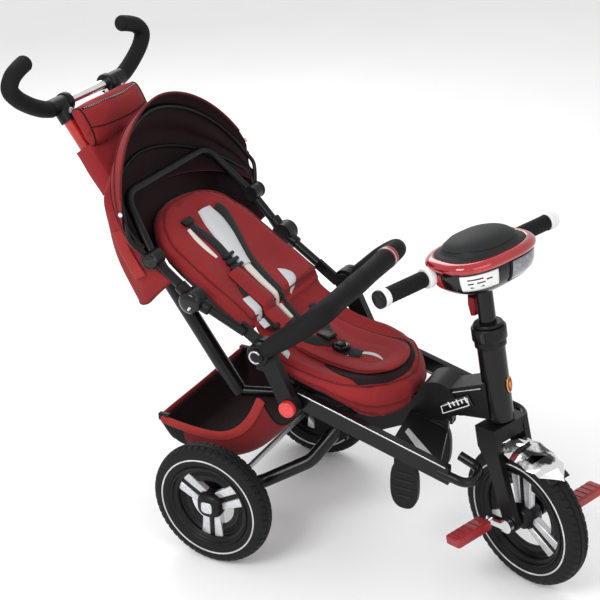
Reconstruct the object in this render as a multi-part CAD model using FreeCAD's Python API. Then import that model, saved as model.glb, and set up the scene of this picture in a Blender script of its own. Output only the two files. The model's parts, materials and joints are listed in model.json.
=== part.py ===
import FreeCAD, Part
import math
import os

# Children's tricycle, millimetres. +X forward, +Y to the rider's left, +Z up.
# The origin is on the floor, in the middle of the footprint.

V = FreeCAD.Vector
X_AXIS = V(1, 0, 0)
Y_AXIS = V(0, 1, 0)
Z_AXIS = V(0, 0, 1)
SIDES = {"left": 1, "right": -1}
RUN_CLEARANCE = 0.05

# wheels
REAR_AXLE_X = -140.0
REAR_RADIUS = 127.5
REAR_TYRE_WIDTH = 44.0
REAR_TRACK = 446.0
FRONT_RADIUS = 143.0
FRONT_TYRE_WIDTH = 44.0
AXLE_RADIUS = 6.0
HUB_RADIUS = 22.0
BARREL_WALL = 4.0
TYRE_SECTION = 0.95
SPOKE_PAIRS = 3
SPOKE_START_DEG = -30.0

# steering, in its own frame: x forward, y left, z up the steering axis
STEER_FOOT_X = 394.0
RAKE_DEG = 9.7
STEER_REST_DEG = -23.5
FORK_OFFSET = 35.0
STEM_RADIUS = 16.0
HEAD_TUBE_RADIUS = 26.0
HEAD_TUBE_SPAN = (196.0, 344.0)
HEAD_COLLAR_RADIUS = 30.0
HEAD_COLLAR_TOP = 391.0
CROWN_SPAN = (162.0, 192.0)
LEVER_PIN = (-26.0, 442.0)
LEVER_PIN_RADIUS = 2.5
FORK_LEG_INNER = 31.0
FORK_LEG_THICKNESS = 13.0
HANDLEBAR_HEIGHT = 510.0
HANDLEBAR_BACK = -26.0
HANDLEBAR_HALF = 222.0
HANDLEBAR_RADIUS = 11.0
GRIP_RADIUS = 16.5
CONSOLE_X = 6.0
CRANK_LENGTH = 42.0
CRANK_DEG = 180.0
PEDAL_SIZE = (36.0, 88.0, 20.0)
PEDAL_INNER = 66.0

# seat
PIVOT_X = -42.0
PIVOT_Z = 461.0
RECLINE_DEG = 34.5
SEAT_HALF = 150.0
CUSHION_THICKNESS = 34.0
BACKREST_LENGTH = 362.0
BRACKET_INNER = 161.0
BRACKET_OUTER = 179.0
PIN_RADIUS = 5.0
BUMPER_ARM = 150.0
BUMPER_DEG = 38.8
BUMPER_Y = 190.0
BUMPER_RADIUS = 20.0

# canopy, on hubs beside the backrest
CANOPY_HUB = (-263.0, 610.0)
CANOPY_WALL = 4.0
HOOD_FOOT = (-9.0, 22.0)
HOOD_POWER = 1.85

# push handle
HANDLE_TOP = (-528.0, 842.0)
HANDLE_Y = 87.0
HANDLE_SLOPE_DEG = 55.0
HANDLE_TUBE_RADIUS = 12.5
SOCKET_RADIUS = 16.0
HANDLE_LENGTH = 560.0

# frame
RAIL_Y = 148.0
RAIL_START = (75.0, 363.0)
RAIL_SLOPE = -0.27
RAIL_HEIGHT = 36.0
RAIL_WIDTH = 14.0
BOW_RADIUS = 14.0
BEAM_HALF = 28.0
COLUMN_X = (-10.0, 62.0)
CROSS_ROD = (4.0, 360.0)
BRACKET_FOOT = (10.0, 354.0)
BUTTON_RADIUS = 16.0
BRAKE_PIVOT = (-178.0, 140.0)
FOOT_X = 205.0
FOOT_HINGE = (80.0, 252.0)
BASKET_HALF = 163.0


def save(name, *solids):
    """Write one node; a node of several pieces holds them as separate solids."""
    shape = solids[0] if len(solids) == 1 else Part.makeCompound(list(solids))
    shape.exportStep("parts/%s.step" % name)


def mirrored(shape):
    """The same piece on the other side of the middle plane."""
    return shape.mirror(V(0, 0, 0), Y_AXIS)


def both_sides(shape):
    return shape, mirrored(shape)


def on_side(shape, side):
    """A piece drawn at +Y, moved to its side."""
    return shape if side == "left" else mirrored(shape)


def rod(start, end, radius):
    """A round bar between two points."""
    run = end - start
    return Part.makeCylinder(radius, run.Length, start, run)


def tube(start, end, outer, inner):
    """A straight hollow tube between two points."""
    return rod(start, end, outer).cut(rod(start, end, inner))


def y_disc(x, z, y_low, y_high, radius):
    """A disc across the tricycle, between two Y planes."""
    return Part.makeCylinder(radius, y_high - y_low, V(x, y_low, z), Y_AXIS)


def block(x, y, z):
    """A box from three (low, high) pairs."""
    return Part.makeBox(x[1] - x[0], y[1] - y[0], z[1] - z[0], V(x[0], y[0], z[0]))


def rounded_path(points, radius):
    """Straight runs joined by tangent arcs."""
    edges = []
    start = points[0]
    for before, corner, after in zip(points, points[1:], points[2:]):
        come = (before - corner).normalize()
        go = (after - corner).normalize()
        half = come.getAngle(go) / 2
        reach = radius / math.tan(half)
        middle = corner + (come + go).normalize() * (radius / math.sin(half) - radius)
        enter = corner + come * reach
        leave = corner + go * reach
        edges.append(Part.LineSegment(start, enter).toShape())
        edges.append(Part.Arc(enter, middle, leave).toShape())
        start = leave
    edges.append(Part.LineSegment(start, points[-1]).toShape())
    return Part.Wire(edges)


def swept(path, radius):
    """A round bar along a path."""
    first = path.Edges[0]
    start = first.valueAt(first.FirstParameter)
    circle = Part.Wire(Part.makeCircle(radius, start, first.tangentAt(first.FirstParameter)))
    return path.makePipeShell([circle], True, True)


def bent_bar(points, bend, radius):
    return swept(rounded_path([V(*p) for p in points], bend), radius)


def xz_prism(outline, y_low, y_high):
    """An outline of (x, z) points, extruded across the tricycle."""
    corners = [V(x, y_low, z) for x, z in outline]
    face = Part.Face(Part.makePolygon(corners + corners[:1]))
    return face.extrude(V(0, y_high - y_low, 0))


def xy_prism(outline, z_low, z_high):
    """An outline of (x, y) points, extruded upwards."""
    corners = [V(x, y, z_low) for x, y in outline]
    face = Part.Face(Part.makePolygon(corners + corners[:1]))
    return face.extrude(V(0, 0, z_high - z_low))


def revolved(outline, degrees=360):
    """An outline of (radius, y) points turned about the Y axis."""
    corners = [V(r, y, 0) for r, y in outline]
    face = Part.Face(Part.makePolygon(corners + corners[:1]))
    return face.revolve(V(0, 0, 0), Y_AXIS, degrees)


def super_point(half_x, half_y, power, turn):
    """A point on a rounded rectangle (a superellipse)."""
    c = math.cos(turn)
    s = math.sin(turn)
    x = half_x * math.copysign(abs(c) ** (2 / power), c)
    y = half_y * math.copysign(abs(s) ** (2 / power), s)
    return x, y


def super_wire(centre_x, half_x, half_y, z, power=3.0, count=24):
    """A closed smooth outline in a level plane."""
    curve = Part.BSplineCurve()
    turns = [2 * math.pi * i / count for i in range(count)]
    flat = [super_point(half_x, half_y, power, t) for t in turns]
    curve.interpolate([V(centre_x + x, y, z) for x, y in flat], True)
    return Part.Wire(curve.toShape())


def lofted(sections):
    return Part.makeLoft(sections, True, False)


def softened(shape, radius):
    """Round every edge."""
    return shape.makeFillet(radius, shape.Edges)


# ---------------------------------------------------------------- frames of reference

def steering_placement(steered):
    """From the steering frame to the tricycle; unsteered for the head tube."""
    turn = FreeCAD.Rotation(Z_AXIS, STEER_REST_DEG if steered else 0)
    rake = FreeCAD.Rotation(Y_AXIS, -RAKE_DEG)
    lean = math.cos(math.radians(STEER_REST_DEG)) * math.sin(math.radians(RAKE_DEG))
    foot = V(STEER_FOOT_X, 0, FRONT_RADIUS - FORK_OFFSET * lean)
    return FreeCAD.Placement(foot, rake.multiply(turn))


def placed(shape, placement):
    """The same piece, moved as a rigid body."""
    moved = shape.copy()
    moved.Placement = placement.multiply(shape.Placement)
    return moved


def steered(shape):
    return placed(shape, steering_placement(True))


def raked(shape):
    return placed(shape, steering_placement(False))


def backrest_point(along, y, out):
    """A point by its distance up the backrest, its Y and its height off the surface."""
    lean = math.radians(RECLINE_DEG)
    x = PIVOT_X - along * math.cos(lean) + out * math.sin(lean)
    z = PIVOT_Z + along * math.sin(lean) + out * math.cos(lean)
    return V(x, y, z)


def on_backrest(shape):
    """From x along the backrest, y across and z off its surface."""
    origin = backrest_point(0, 0, 0)
    along = backrest_point(1, 0, 0) - origin
    out = backrest_point(0, 0, 1) - origin
    turn = FreeCAD.Rotation(along, V(0, -1, 0), out, "XZY")
    return placed(shape, FreeCAD.Placement(origin, turn))


def handle_point(down, y, forward=0.0):
    """A point by its distance down the push tubes, its Y and its offset off them."""
    slope = math.radians(HANDLE_SLOPE_DEG)
    x = HANDLE_TOP[0] + down * math.cos(slope) + forward * math.sin(slope)
    z = HANDLE_TOP[1] - down * math.sin(slope) + forward * math.cos(slope)
    return V(x, y, z)


# ---------------------------------------------------------------- wheels

def tyre(radius, width):
    """A round-shouldered tyre with a flat seat for the rim."""
    half = width / 2
    bead = radius - width * TYRE_SECTION
    outline = [
        (bead, -half * 0.7), (radius * 0.83, -half), (radius * 0.93, -half * 0.93),
        (radius * 0.985, -half * 0.6), (radius, -half * 0.22), (radius, half * 0.22),
        (radius * 0.985, half * 0.6), (radius * 0.93, half * 0.93), (radius * 0.83, half),
        (bead, half * 0.7),
    ]
    return revolved(outline)


def rim(radius, width):
    """The dished black barrel, its web and the hub."""
    half = width / 2
    seat = radius - width * TYRE_SECTION
    barrel = revolved([
        (seat - BARREL_WALL, -half * 0.7), (seat, -half * 0.7),
        (seat, half * 0.7), (seat - BARREL_WALL, half * 0.7),
    ])
    hub = revolved([
        (AXLE_RADIUS + RUN_CLEARANCE, -half), (HUB_RADIUS, -half),
        (HUB_RADIUS, half), (AXLE_RADIUS + RUN_CLEARANCE, half),
    ])
    ribs = [spoke(radius, width, degrees, 0.0, 12.0, 9.0) for degrees in spoke_angles()]
    return barrel.fuse([hub] + ribs).removeSplitter()


def spoke_angles():
    return [SPOKE_START_DEG + 360.0 * i / SPOKE_PAIRS for i in range(SPOKE_PAIRS)]


def spoke(radius, width, degrees, aside, breadth, depth):
    """One flat blade from the hub to the barrel, leaning by its offset."""
    reach = radius - width * TYRE_SECTION - BARREL_WALL / 2
    blade = block((HUB_RADIUS - 4, reach), (-depth / 2, depth / 2),
                  (aside - breadth / 2, aside + breadth / 2))
    blade.rotate(V(0, 0, 0), Y_AXIS, degrees)
    return blade


def spoke_faces(radius, width, cap_side):
    """The bright blades beside each rib, and the round cap on the hub."""
    half = width / 2
    reach = radius - width * TYRE_SECTION - BARREL_WALL - 0.4
    pieces = []
    for degrees in spoke_angles():
        for aside in (-15.0, 15.0):
            blade = block((HUB_RADIUS + 1.5, reach), (-5.0, 5.0), (aside - 8.0, aside + 8.0))
            blade.rotate(V(0, 0, 0), Y_AXIS, degrees)
            pieces.append(blade.common(revolved([(HUB_RADIUS + 0.4, -half), (reach, -half),
                                                 (reach, half), (HUB_RADIUS + 0.4, half)])))
    if cap_side:
        low, high = sorted((cap_side * half, cap_side * (half + 6)))
        pieces.append(y_disc(0, 0, low, high, 14.0))
    return pieces


def rear_wheels():
    for side, sign in SIDES.items():
        place = V(REAR_AXLE_X, sign * REAR_TRACK / 2, REAR_RADIUS)
        moved = [tyre(REAR_RADIUS, REAR_TYRE_WIDTH), rim(REAR_RADIUS, REAR_TYRE_WIDTH)]
        moved += spoke_faces(REAR_RADIUS, REAR_TYRE_WIDTH, sign)
        for shape in moved:
            shape.translate(place)
        save("rear_tyre_" + side, moved[0])
        save("rear_rim_" + side, moved[1])
        save("rear_spokes_" + side, *moved[2:])


def rear_axle():
    end = REAR_TRACK / 2 + REAR_TYRE_WIDTH / 2 - 1
    save("rear_axle", y_disc(REAR_AXLE_X, REAR_RADIUS, -end, end, AXLE_RADIUS))


def front_wheel():
    place = V(FORK_OFFSET, 0, 0)
    parts = [tyre(FRONT_RADIUS, FRONT_TYRE_WIDTH), rim(FRONT_RADIUS, FRONT_TYRE_WIDTH)]
    parts += spoke_faces(FRONT_RADIUS, FRONT_TYRE_WIDTH, 0)
    for shape in parts:
        shape.translate(place)
    save("front_tyre", steered(parts[0]))
    save("front_rim", steered(parts[1]))
    save("front_spokes", *[steered(p) for p in parts[2:]])


def crank_centre(sign):
    """Where a pedal's pin leaves its crank; the left crank points forward."""
    turn = math.radians(CRANK_DEG)
    return V(FORK_OFFSET - sign * CRANK_LENGTH * math.cos(turn), 0, 0)


def crank_axle():
    """The axle through the front hub with a crank and a pin at each end."""
    outer = FORK_LEG_INNER + FORK_LEG_THICKNESS + 12
    shape = y_disc(FORK_OFFSET, 0, -outer, outer, AXLE_RADIUS)
    for sign in SIDES.values():
        pin = crank_centre(sign)
        low, high = sorted((sign * (outer - 10), sign * outer))
        arm = block(sorted((FORK_OFFSET, pin.x)), (low, high), (-9, 9))
        boss = y_disc(FORK_OFFSET, 0, low, high, 14.0)
        tip = y_disc(pin.x, 0, low, high, 9.0)
        reach = sorted((sign * (outer - 1), sign * (PEDAL_INNER + PEDAL_SIZE[1] - 8)))
        shape = shape.fuse([arm, boss, tip, y_disc(pin.x, 0, reach[0], reach[1], 4.0)])
    save("crank_axle", steered(shape.removeSplitter()))


def pedals():
    length, breadth, height = PEDAL_SIZE
    for side, sign in SIDES.items():
        pin = crank_centre(sign)
        low, high = sorted((sign * PEDAL_INNER, sign * (PEDAL_INNER + breadth)))
        body = softened(block((pin.x - length / 2, pin.x + length / 2), (low, high),
                              (-height / 2, height / 2)), 5.0)
        bore_end = sign * (PEDAL_INNER + breadth - 7)
        bore = sorted((sign * (PEDAL_INNER - 1), bore_end))
        hole = y_disc(pin.x, 0, bore[0], bore[1], 4.0 + RUN_CLEARANCE)
        save("pedal_" + side, steered(body.cut(hole)))


# ---------------------------------------------------------------- steering

def fork_leg():
    """A broad flat leg from the crown to the axle, at +Y."""
    low, high = FORK_LEG_INNER, FORK_LEG_INNER + FORK_LEG_THICKNESS
    blade = xz_prism([(-24, CROWN_SPAN[1]), (26, CROWN_SPAN[1]), (30, 130), (52, 0), (18, 0),
                      (-4, 110), (-24, 150)], low, high)
    foot = y_disc(FORK_OFFSET, 0, low, high, 17.0)
    hole = y_disc(FORK_OFFSET, 0, low - 1, high + 1, AXLE_RADIUS + RUN_CLEARANCE)
    return blade.fuse(foot).cut(hole)


def fork():
    crown = block((-24, 26), (-FORK_LEG_INNER - 1, FORK_LEG_INNER + 1), CROWN_SPAN)
    shape = crown.fuse([fork_leg(), mirrored(fork_leg())]).removeSplitter()
    save("fork", steered(shape))


def steering_stem():
    """The round stem from the crown up through the head tube to the handlebar."""
    top = HANDLEBAR_HEIGHT - 46
    post = Part.makeCylinder(STEM_RADIUS, top - CROWN_SPAN[1], V(0, 0, CROWN_SPAN[1]), Z_AXIS)
    pin_x, pin_z = LEVER_PIN
    lug = block((pin_x - 5, 0), (8.5, 12), (pin_z - 5, pin_z + 5))
    pin = y_disc(pin_x, pin_z, -12, 12, LEVER_PIN_RADIUS)
    save("steering_stem", steered(post.fuse([lug, mirrored(lug), pin]).removeSplitter()))


def head_tube():
    low, high = HEAD_TUBE_SPAN
    bore = STEM_RADIUS + RUN_CLEARANCE
    save("head_tube", raked(tube(V(0, 0, low), V(0, 0, high), HEAD_TUBE_RADIUS, bore)))
    ring = tube(V(0, 0, high), V(0, 0, HEAD_COLLAR_TOP), HEAD_COLLAR_RADIUS, bore)
    rims = [e for e in ring.Edges if abs(e.Length - 2 * math.pi * HEAD_COLLAR_RADIUS) < 1]
    save("head_collar", raked(ring.makeFillet(4.0, rims)))


def front_fender():
    """A bright curved guard over the front half of the tyre, hung from the crown."""
    inner = FRONT_RADIUS + 6
    skin = revolved([
        (inner - 14, -35), (inner - 2, -33), (inner + 3, -20), (inner + 5, 0),
        (inner + 3, 20), (inner - 2, 33), (inner - 14, 35), (inner - 14, 32.5),
        (inner - 4, 30.5), (inner + 0.5, 18), (inner + 2.5, 0), (inner + 0.5, -18),
        (inner - 4, -30.5), (inner - 14, -32.5),
    ], 52)
    skin.rotate(V(0, 0, 0), Y_AXIS, -82)
    skin.translate(V(FORK_OFFSET, 0, 0))
    tab = block((26, 40), (-12, 12), (inner + 3.5, CROWN_SPAN[1] - 6))
    save("front_fender", steered(skin.fuse(tab).removeSplitter()))


def handlebar():
    at = (HANDLEBAR_BACK, HANDLEBAR_HEIGHT)
    save("handlebar_tube", steered(y_disc(at[0], at[1], -HANDLEBAR_HALF + 6,
                                          HANDLEBAR_HALF - 6, HANDLEBAR_RADIUS)))

    def sleeve(low, high, radius):
        shape = y_disc(at[0], at[1], low, high, radius)
        return shape.cut(y_disc(at[0], at[1], low - 1, high + 1, HANDLEBAR_RADIUS))

    grip = sleeve(112, HANDLEBAR_HALF - 20, GRIP_RADIUS)
    collar = sleeve(102, 111, GRIP_RADIUS + 2)
    cap = y_disc(at[0], at[1], HANDLEBAR_HALF - 19, HANDLEBAR_HALF, GRIP_RADIUS + 1)
    cap = cap.cut(y_disc(at[0], at[1], HANDLEBAR_HALF - 20, HANDLEBAR_HALF - 6,
                         HANDLEBAR_RADIUS))
    save("handlebar_grips", *[steered(s) for s in both_sides(grip)])
    save("grip_rings", *[steered(s) for s in both_sides(collar) + both_sides(cap)])


def console():
    """The play console on the handlebar: tub, bright ring, soft dome and lamp."""
    base = HANDLEBAR_HEIGHT
    tub = lofted([
        super_wire(CONSOLE_X - 6, 26, 32, base - 46), super_wire(CONSOLE_X - 4, 40, 58, base - 36),
        super_wire(CONSOLE_X, 62, 90, base - 22), super_wire(CONSOLE_X, 66, 95, base + 13),
    ])
    tub = tub.cut(y_disc(HANDLEBAR_BACK, base, -120, 120, HANDLEBAR_RADIUS))
    save("console_housing", steered(tub.cut(button_solid(0.3, 25.0))))
    ring = lofted([super_wire(CONSOLE_X, 67, 96, base + 13.4), super_wire(CONSOLE_X, 72, 101, base + 19),
                   super_wire(CONSOLE_X, 67, 96, base + 26)])
    save("console_bezel", steered(ring))
    dome = lofted([super_wire(CONSOLE_X, 60, 84, base + 26.4), super_wire(CONSOLE_X, 58, 80, base + 36),
                   super_wire(CONSOLE_X, 48, 66, base + 48), super_wire(CONSOLE_X, 24, 36, base + 56)])
    save("console_dome", steered(dome))
    lamp = lofted([super_wire(CONSOLE_X + 66, 14, 30, base - 14), super_wire(CONSOLE_X + 66, 16, 34, base),
                   super_wire(CONSOLE_X + 66, 14, 30, base + 7)])
    save("console_headlight", steered(lamp.cut(tub)))
    save("console_button", steered(button_solid(0.0, 20.0)))


def button_solid(grow, depth):
    """The red push button in the tub's rear face; grown and deeper, its pocket."""
    at = HANDLEBAR_HEIGHT - 14
    return Part.makeCylinder(9.0 + grow, depth, V(CONSOLE_X - 68, 62, at), X_AXIS)


def stem_lever():
    """The red clamp lever at the side of the stem."""
    x, z = LEVER_PIN
    arm = xz_prism([(x - 8, z + 6), (x + 6, z + 10), (x + 6, z - 18), (x + 2, z - 42),
                    (x - 8, z - 44), (x - 12, z - 22)], -8, 8)
    save("stem_lever", steered(arm.cut(y_disc(x, z, -9, 9, LEVER_PIN_RADIUS + RUN_CLEARANCE))))


# ---------------------------------------------------------------- frame

def rail_top(x):
    """Height of the side rails' top edge."""
    return RAIL_START[1] + RAIL_SLOPE * (x - RAIL_START[0])


def beam():
    """The spine from the seat column to the head tube, with its round side bosses."""
    spine = xz_prism([(COLUMN_X[1], 222), (171, 278), (290, 332), (350, 338), (338, 410),
                      (262, 380), (190, 348), (110, 306), (COLUMN_X[1], 268)],
                     -BEAM_HALF, BEAM_HALF)
    boss = y_disc(245, 352, -BEAM_HALF - 5, BEAM_HALF + 5, 40)
    axis_top = steering_placement(False).multVec(V(0, 0, 400))
    axis_foot = steering_placement(False).multVec(V(0, 0, 100))
    head = rod(axis_foot, axis_top, HEAD_TUBE_RADIUS)
    return spine.fuse(boss).removeSplitter().cut(head)


def column():
    return block(COLUMN_X, (-40, 40), (222, 336))


def cross_rod():
    return y_disc(CROSS_ROD[0], CROSS_ROD[1], -BRACKET_INNER, BRACKET_INNER, 8)


def seat_support():
    """Column, round table and wedge under the seat, with the rod to the side brackets."""
    table = Part.makeCylinder(78, 14, V(10, 0, 336), Z_AXIS)
    wedge = block((-45, 70), (-60, 60), (350, 410))
    above = xz_prism([(-90, 391), (-30, 384), (60, 367), (105, 352), (105, 450), (-90, 450)],
                     -100, 100)
    shape = column().fuse([table, wedge.cut(above), cross_rod()]).removeSplitter()
    save("seat_support", shape)


def rear_bow():
    """The two bent tubes from the rear axle to the column."""
    bar = bent_bar([(REAR_AXLE_X, 184, REAR_RADIUS), (-81, 125, 136), (0, 75, 178),
                    (42, 24, 244)], 60, BOW_RADIUS)
    axle = y_disc(REAR_AXLE_X, REAR_RADIUS, 0, 200, AXLE_RADIUS)
    bar = bar.cut(column()).cut(axle).cut(brake_housing())
    save("rear_bow_tubes", *both_sides(bar.Solids[0]))


def footrest_rails():
    """The two flat side rails, each ending in a round bar curled inwards."""
    start, end = -8, 322
    low, high = RAIL_Y - RAIL_WIDTH / 2, RAIL_Y + RAIL_WIDTH / 2
    bar = xz_prism([(start, rail_top(start)), (end, rail_top(end)),
                    (end, rail_top(end) - RAIL_HEIGHT),
                    (start, rail_top(start) - RAIL_HEIGHT)], low, high)
    curl = bent_bar([(300, RAIL_Y, 280), (362, RAIL_Y, 266), (362, 90, 268), (316, 84, 282)],
                    24, 9)
    save("footrest_rails", *both_sides(bar.fuse(curl).removeSplitter().cut(cross_rod())))


def footboard():
    """The sloping board between the spine and the rails, with the foot plates' ears."""
    inner = RAIL_Y - RAIL_WIDTH / 2
    plan = [(190, 0), (205, inner), (300, inner), (272, 40), (266, 34), (200, 34), (200, 0)]
    slab = xz_prism([(150, rail_top(150) - 12), (340, rail_top(340) - 12),
                     (340, rail_top(340) - 20), (150, rail_top(150) - 20)], 0, inner)
    half = xy_prism(plan, 200, 400).common(slab)
    hinge_y, hinge_z = FOOT_HINGE
    for low in (FOOT_X - 33, FOOT_X + 28):
        ear = block((low, low + 5), (hinge_y - 10, hinge_y + 10), (hinge_z - 7, rail_top(low) - 14))
        half = half.fuse(ear.cut(Part.makeCylinder(4 + RUN_CLEARANCE, 7, V(low - 1, hinge_y, hinge_z),
                                                   X_AXIS)))
    insert = xy_prism([(212, 84), (212, 100), (262, inner - 3), (298, inner - 3)], 200, 400)
    pocket = xz_prism([(150, rail_top(150) - 14), (340, rail_top(340) - 14),
                       (340, rail_top(340) - 11), (150, rail_top(150) - 11)], 0, inner)
    filling = xz_prism([(150, rail_top(150) - 13.9), (340, rail_top(340) - 13.9),
                        (340, rail_top(340) - 12.1), (150, rail_top(150) - 12.1)], 0, inner)
    half = half.cut(insert.common(pocket)).removeSplitter().cut(beam())
    save("footboard", *both_sides(max(half.Solids, key=lambda s: s.Volume)))
    save("footrest_inserts", *both_sides(insert.common(filling)))


def foot_plates():
    """The two oval plates that hang below the board and fold out sideways."""
    hinge_y, hinge_z = FOOT_HINGE
    curve = Part.BSplineCurve()
    outline = [super_point(29, 53, 2.6, 2 * math.pi * i / 20) for i in range(20)]
    curve.interpolate([V(FOOT_X + x, hinge_y - 5, hinge_z - 66 + z) for x, z in outline], True)
    plate = Part.Face(Part.Wire(curve.toShape())).extrude(V(0, 10, 0))
    neck = block((FOOT_X - 22, FOOT_X + 22), (hinge_y - 4, hinge_y + 4), (hinge_z - 30, hinge_z))
    barrel = Part.makeCylinder(6, 54, V(FOOT_X - 27, hinge_y, hinge_z), X_AXIS)
    pins = Part.makeCylinder(4, 65, V(FOOT_X - 32.5, hinge_y, hinge_z), X_AXIS)
    shape = plate.fuse([neck, barrel, pins]).removeSplitter()
    for side in SIDES:
        save("foot_plate_" + side, on_side(shape, side))


def brake_housing():
    """The inner plate on the axle that carries the brake pedal's pin, at +Y."""
    low, high = 186, 199
    x = REAR_AXLE_X
    plate = xz_prism([(x + 18, 108), (x + 18, 148), (x - 8, 156), (x - 48, 150), (x - 48, 130),
                      (x - 18, 108)], low, high)
    pin = y_disc(BRAKE_PIVOT[0], BRAKE_PIVOT[1], 169, low + 1, 4)
    hole = y_disc(x, REAR_RADIUS, low - 1, high + 1, AXLE_RADIUS)
    return plate.fuse(pin).cut(hole).removeSplitter()


def brakes():
    save("brake_housings", *both_sides(brake_housing()))
    px, pz = BRAKE_PIVOT
    arm = xz_prism([(px + 10, pz - 8), (px + 8, pz + 9), (px - 20, pz + 16), (px - 58, pz + 20),
                    (px - 60, pz + 8), (px - 22, pz + 2)], 167, 185)
    arm = arm.cut(y_disc(px, pz, 160, 190, 4 + RUN_CLEARANCE))
    for side in SIDES:
        save("brake_pedal_" + side, on_side(arm, side))


# ---------------------------------------------------------------- seat

def seat_plan(half, back, straight, front):
    """The seat's outline from above: square at the back, round at the front."""
    turns = [math.pi / 2 * (1 - i / 6) for i in range(13)]
    nose = [super_point(front - straight, half, 2.5, t) for t in turns]
    return [(back, -half), (back, half)] + [(straight + x, y) for x, y in nose]


def seat():
    plan = xy_prism(seat_plan(SEAT_HALF, -84, 70, 206), 250, 500)
    side = xz_prism([(-84, 440), (-40, 428), (20, 408), (70, 399), (130, 395), (180, 390),
                     (201, 378), (206, 352), (196, 326), (172, 318), (150, 335), (120, 357),
                     (60, 375), (-30, 392), (-84, 399)], -SEAT_HALF, SEAT_HALF)
    beam_room = block((140, 207), (-BEAM_HALF - 3, BEAM_HALF + 3), (310, 359))
    save("seat_cushion", plan.common(side).cut(beam_room))
    shell_plan = xy_prism(seat_plan(132, -84, 60, 116), 250, 500)
    shell = xz_prism([(-84, 398.7), (-30, 391.7), (60, 374.7), (120, 356.7), (120, 348),
                      (105, 352), (60, 367), (-30, 384), (-84, 391)], -140, 140)
    save("seat_shell", shell_plan.common(shell))
    buckle = softened(block((22, 62), (-16, 16), (409, 421)), 4)
    save("crotch_buckle", buckle)


def seat_side_bracket():
    """The upright arm beside the seat, with the pivot pin and the button's pocket, at +Y."""
    foot = V(BRACKET_FOOT[0], 0, BRACKET_FOOT[1])
    top = V(PIVOT_X, 0, PIVOT_Z)
    run = foot - top
    aside = V(run.z, 0, -run.x).normalize() * 17
    corners = [top + aside, foot + aside, foot - aside, top - aside]
    bar = xz_prism([(c.x, c.z) for c in corners], BRACKET_INNER, BRACKET_OUTER)
    ends = [y_disc(top.x, top.z, BRACKET_INNER, BRACKET_OUTER, 24),
            y_disc(foot.x, foot.z, BRACKET_INNER, BRACKET_OUTER, 20),
            y_disc(top.x, top.z, BRACKET_INNER - 10.5, 204, PIN_RADIUS),
            y_disc(top.x, top.z, 201, 205, 11)]
    pocket = y_disc(foot.x, foot.z, BRACKET_OUTER - 12, BRACKET_OUTER + 1, BUTTON_RADIUS + 0.3)
    return bar.fuse(ends).removeSplitter().cut(pocket)


def side_brackets_and_buttons():
    save("seat_side_brackets", *both_sides(seat_side_bracket()))
    button = y_disc(BRACKET_FOOT[0], BRACKET_FOOT[1], BRACKET_OUTER - 7, BRACKET_OUTER + 11,
                    BUTTON_RADIUS)
    rims = [e for e in button.Edges if e.CenterOfMass.y > BRACKET_OUTER + 10 and e.Closed]
    for side in SIDES:
        save("release_button_" + side, on_side(button.makeFillet(3.0, rims[:1]), side))


def bumper_bar():
    """The padded bar across the lap, on a hub at each end."""
    lift = math.radians(BUMPER_DEG)
    reach = BUMPER_ARM
    x = PIVOT_X + reach * math.cos(lift)
    z = PIVOT_Z + reach * math.sin(lift)
    start = (PIVOT_X + 16 * math.cos(lift), BUMPER_Y, PIVOT_Z + 16 * math.sin(lift))
    points = [start, (x, BUMPER_Y, z), (x, -BUMPER_Y, z), (start[0], -BUMPER_Y, start[2])]
    bar = bent_bar(points, 44, BUMPER_RADIUS)
    for sign in SIDES.values():
        low, high = sorted((sign * 180.5, sign * 200.5))
        keep_in = sorted((sign * 150, sign * 180.5))
        keep_out = sorted((sign * 200.5, sign * 230))
        near = BUMPER_RADIUS + 22
        bar = bar.cut(y_disc(PIVOT_X, PIVOT_Z, keep_in[0], keep_in[1], near + 12))
        bar = bar.cut(y_disc(PIVOT_X, PIVOT_Z, keep_out[0], keep_out[1], near))
        bar = bar.fuse(y_disc(PIVOT_X, PIVOT_Z, low, high, 22))
        bar = bar.cut(y_disc(PIVOT_X, PIVOT_Z, low - 1, high + 1, PIN_RADIUS + RUN_CLEARANCE))
    save("bumper_bar", bar.removeSplitter())


# ---------------------------------------------------------------- backrest and canopy

def backrest_plan(half, low, straight, top):
    """The backrest's outline: square at the seat, round at the head."""
    turns = [math.pi / 2 * (1 - i / 6) for i in range(13)]
    head = [super_point(top - straight, half, 2.3, t) for t in turns]
    return [(low, -half), (low, half)] + [(straight + x, y) for x, y in head]


def backrest():
    pad = xy_prism(backrest_plan(SEAT_HALF, 42, 230, BACKREST_LENGTH), -CUSHION_THICKNESS, 0)
    save("backrest_cushion", on_backrest(pad))
    board = xy_prism(backrest_plan(126, 72, 220, 330), -CUSHION_THICKNESS - 7,
                     -CUSHION_THICKNESS - 0.3)
    save("backrest_board", on_backrest(board))
    pads = [softened(block((128, 290), (low, low + 42), (0.3, 9)), 3) for low in (-66, 24)]
    save("shoulder_pads", *[on_backrest(p) for p in pads])


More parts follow.
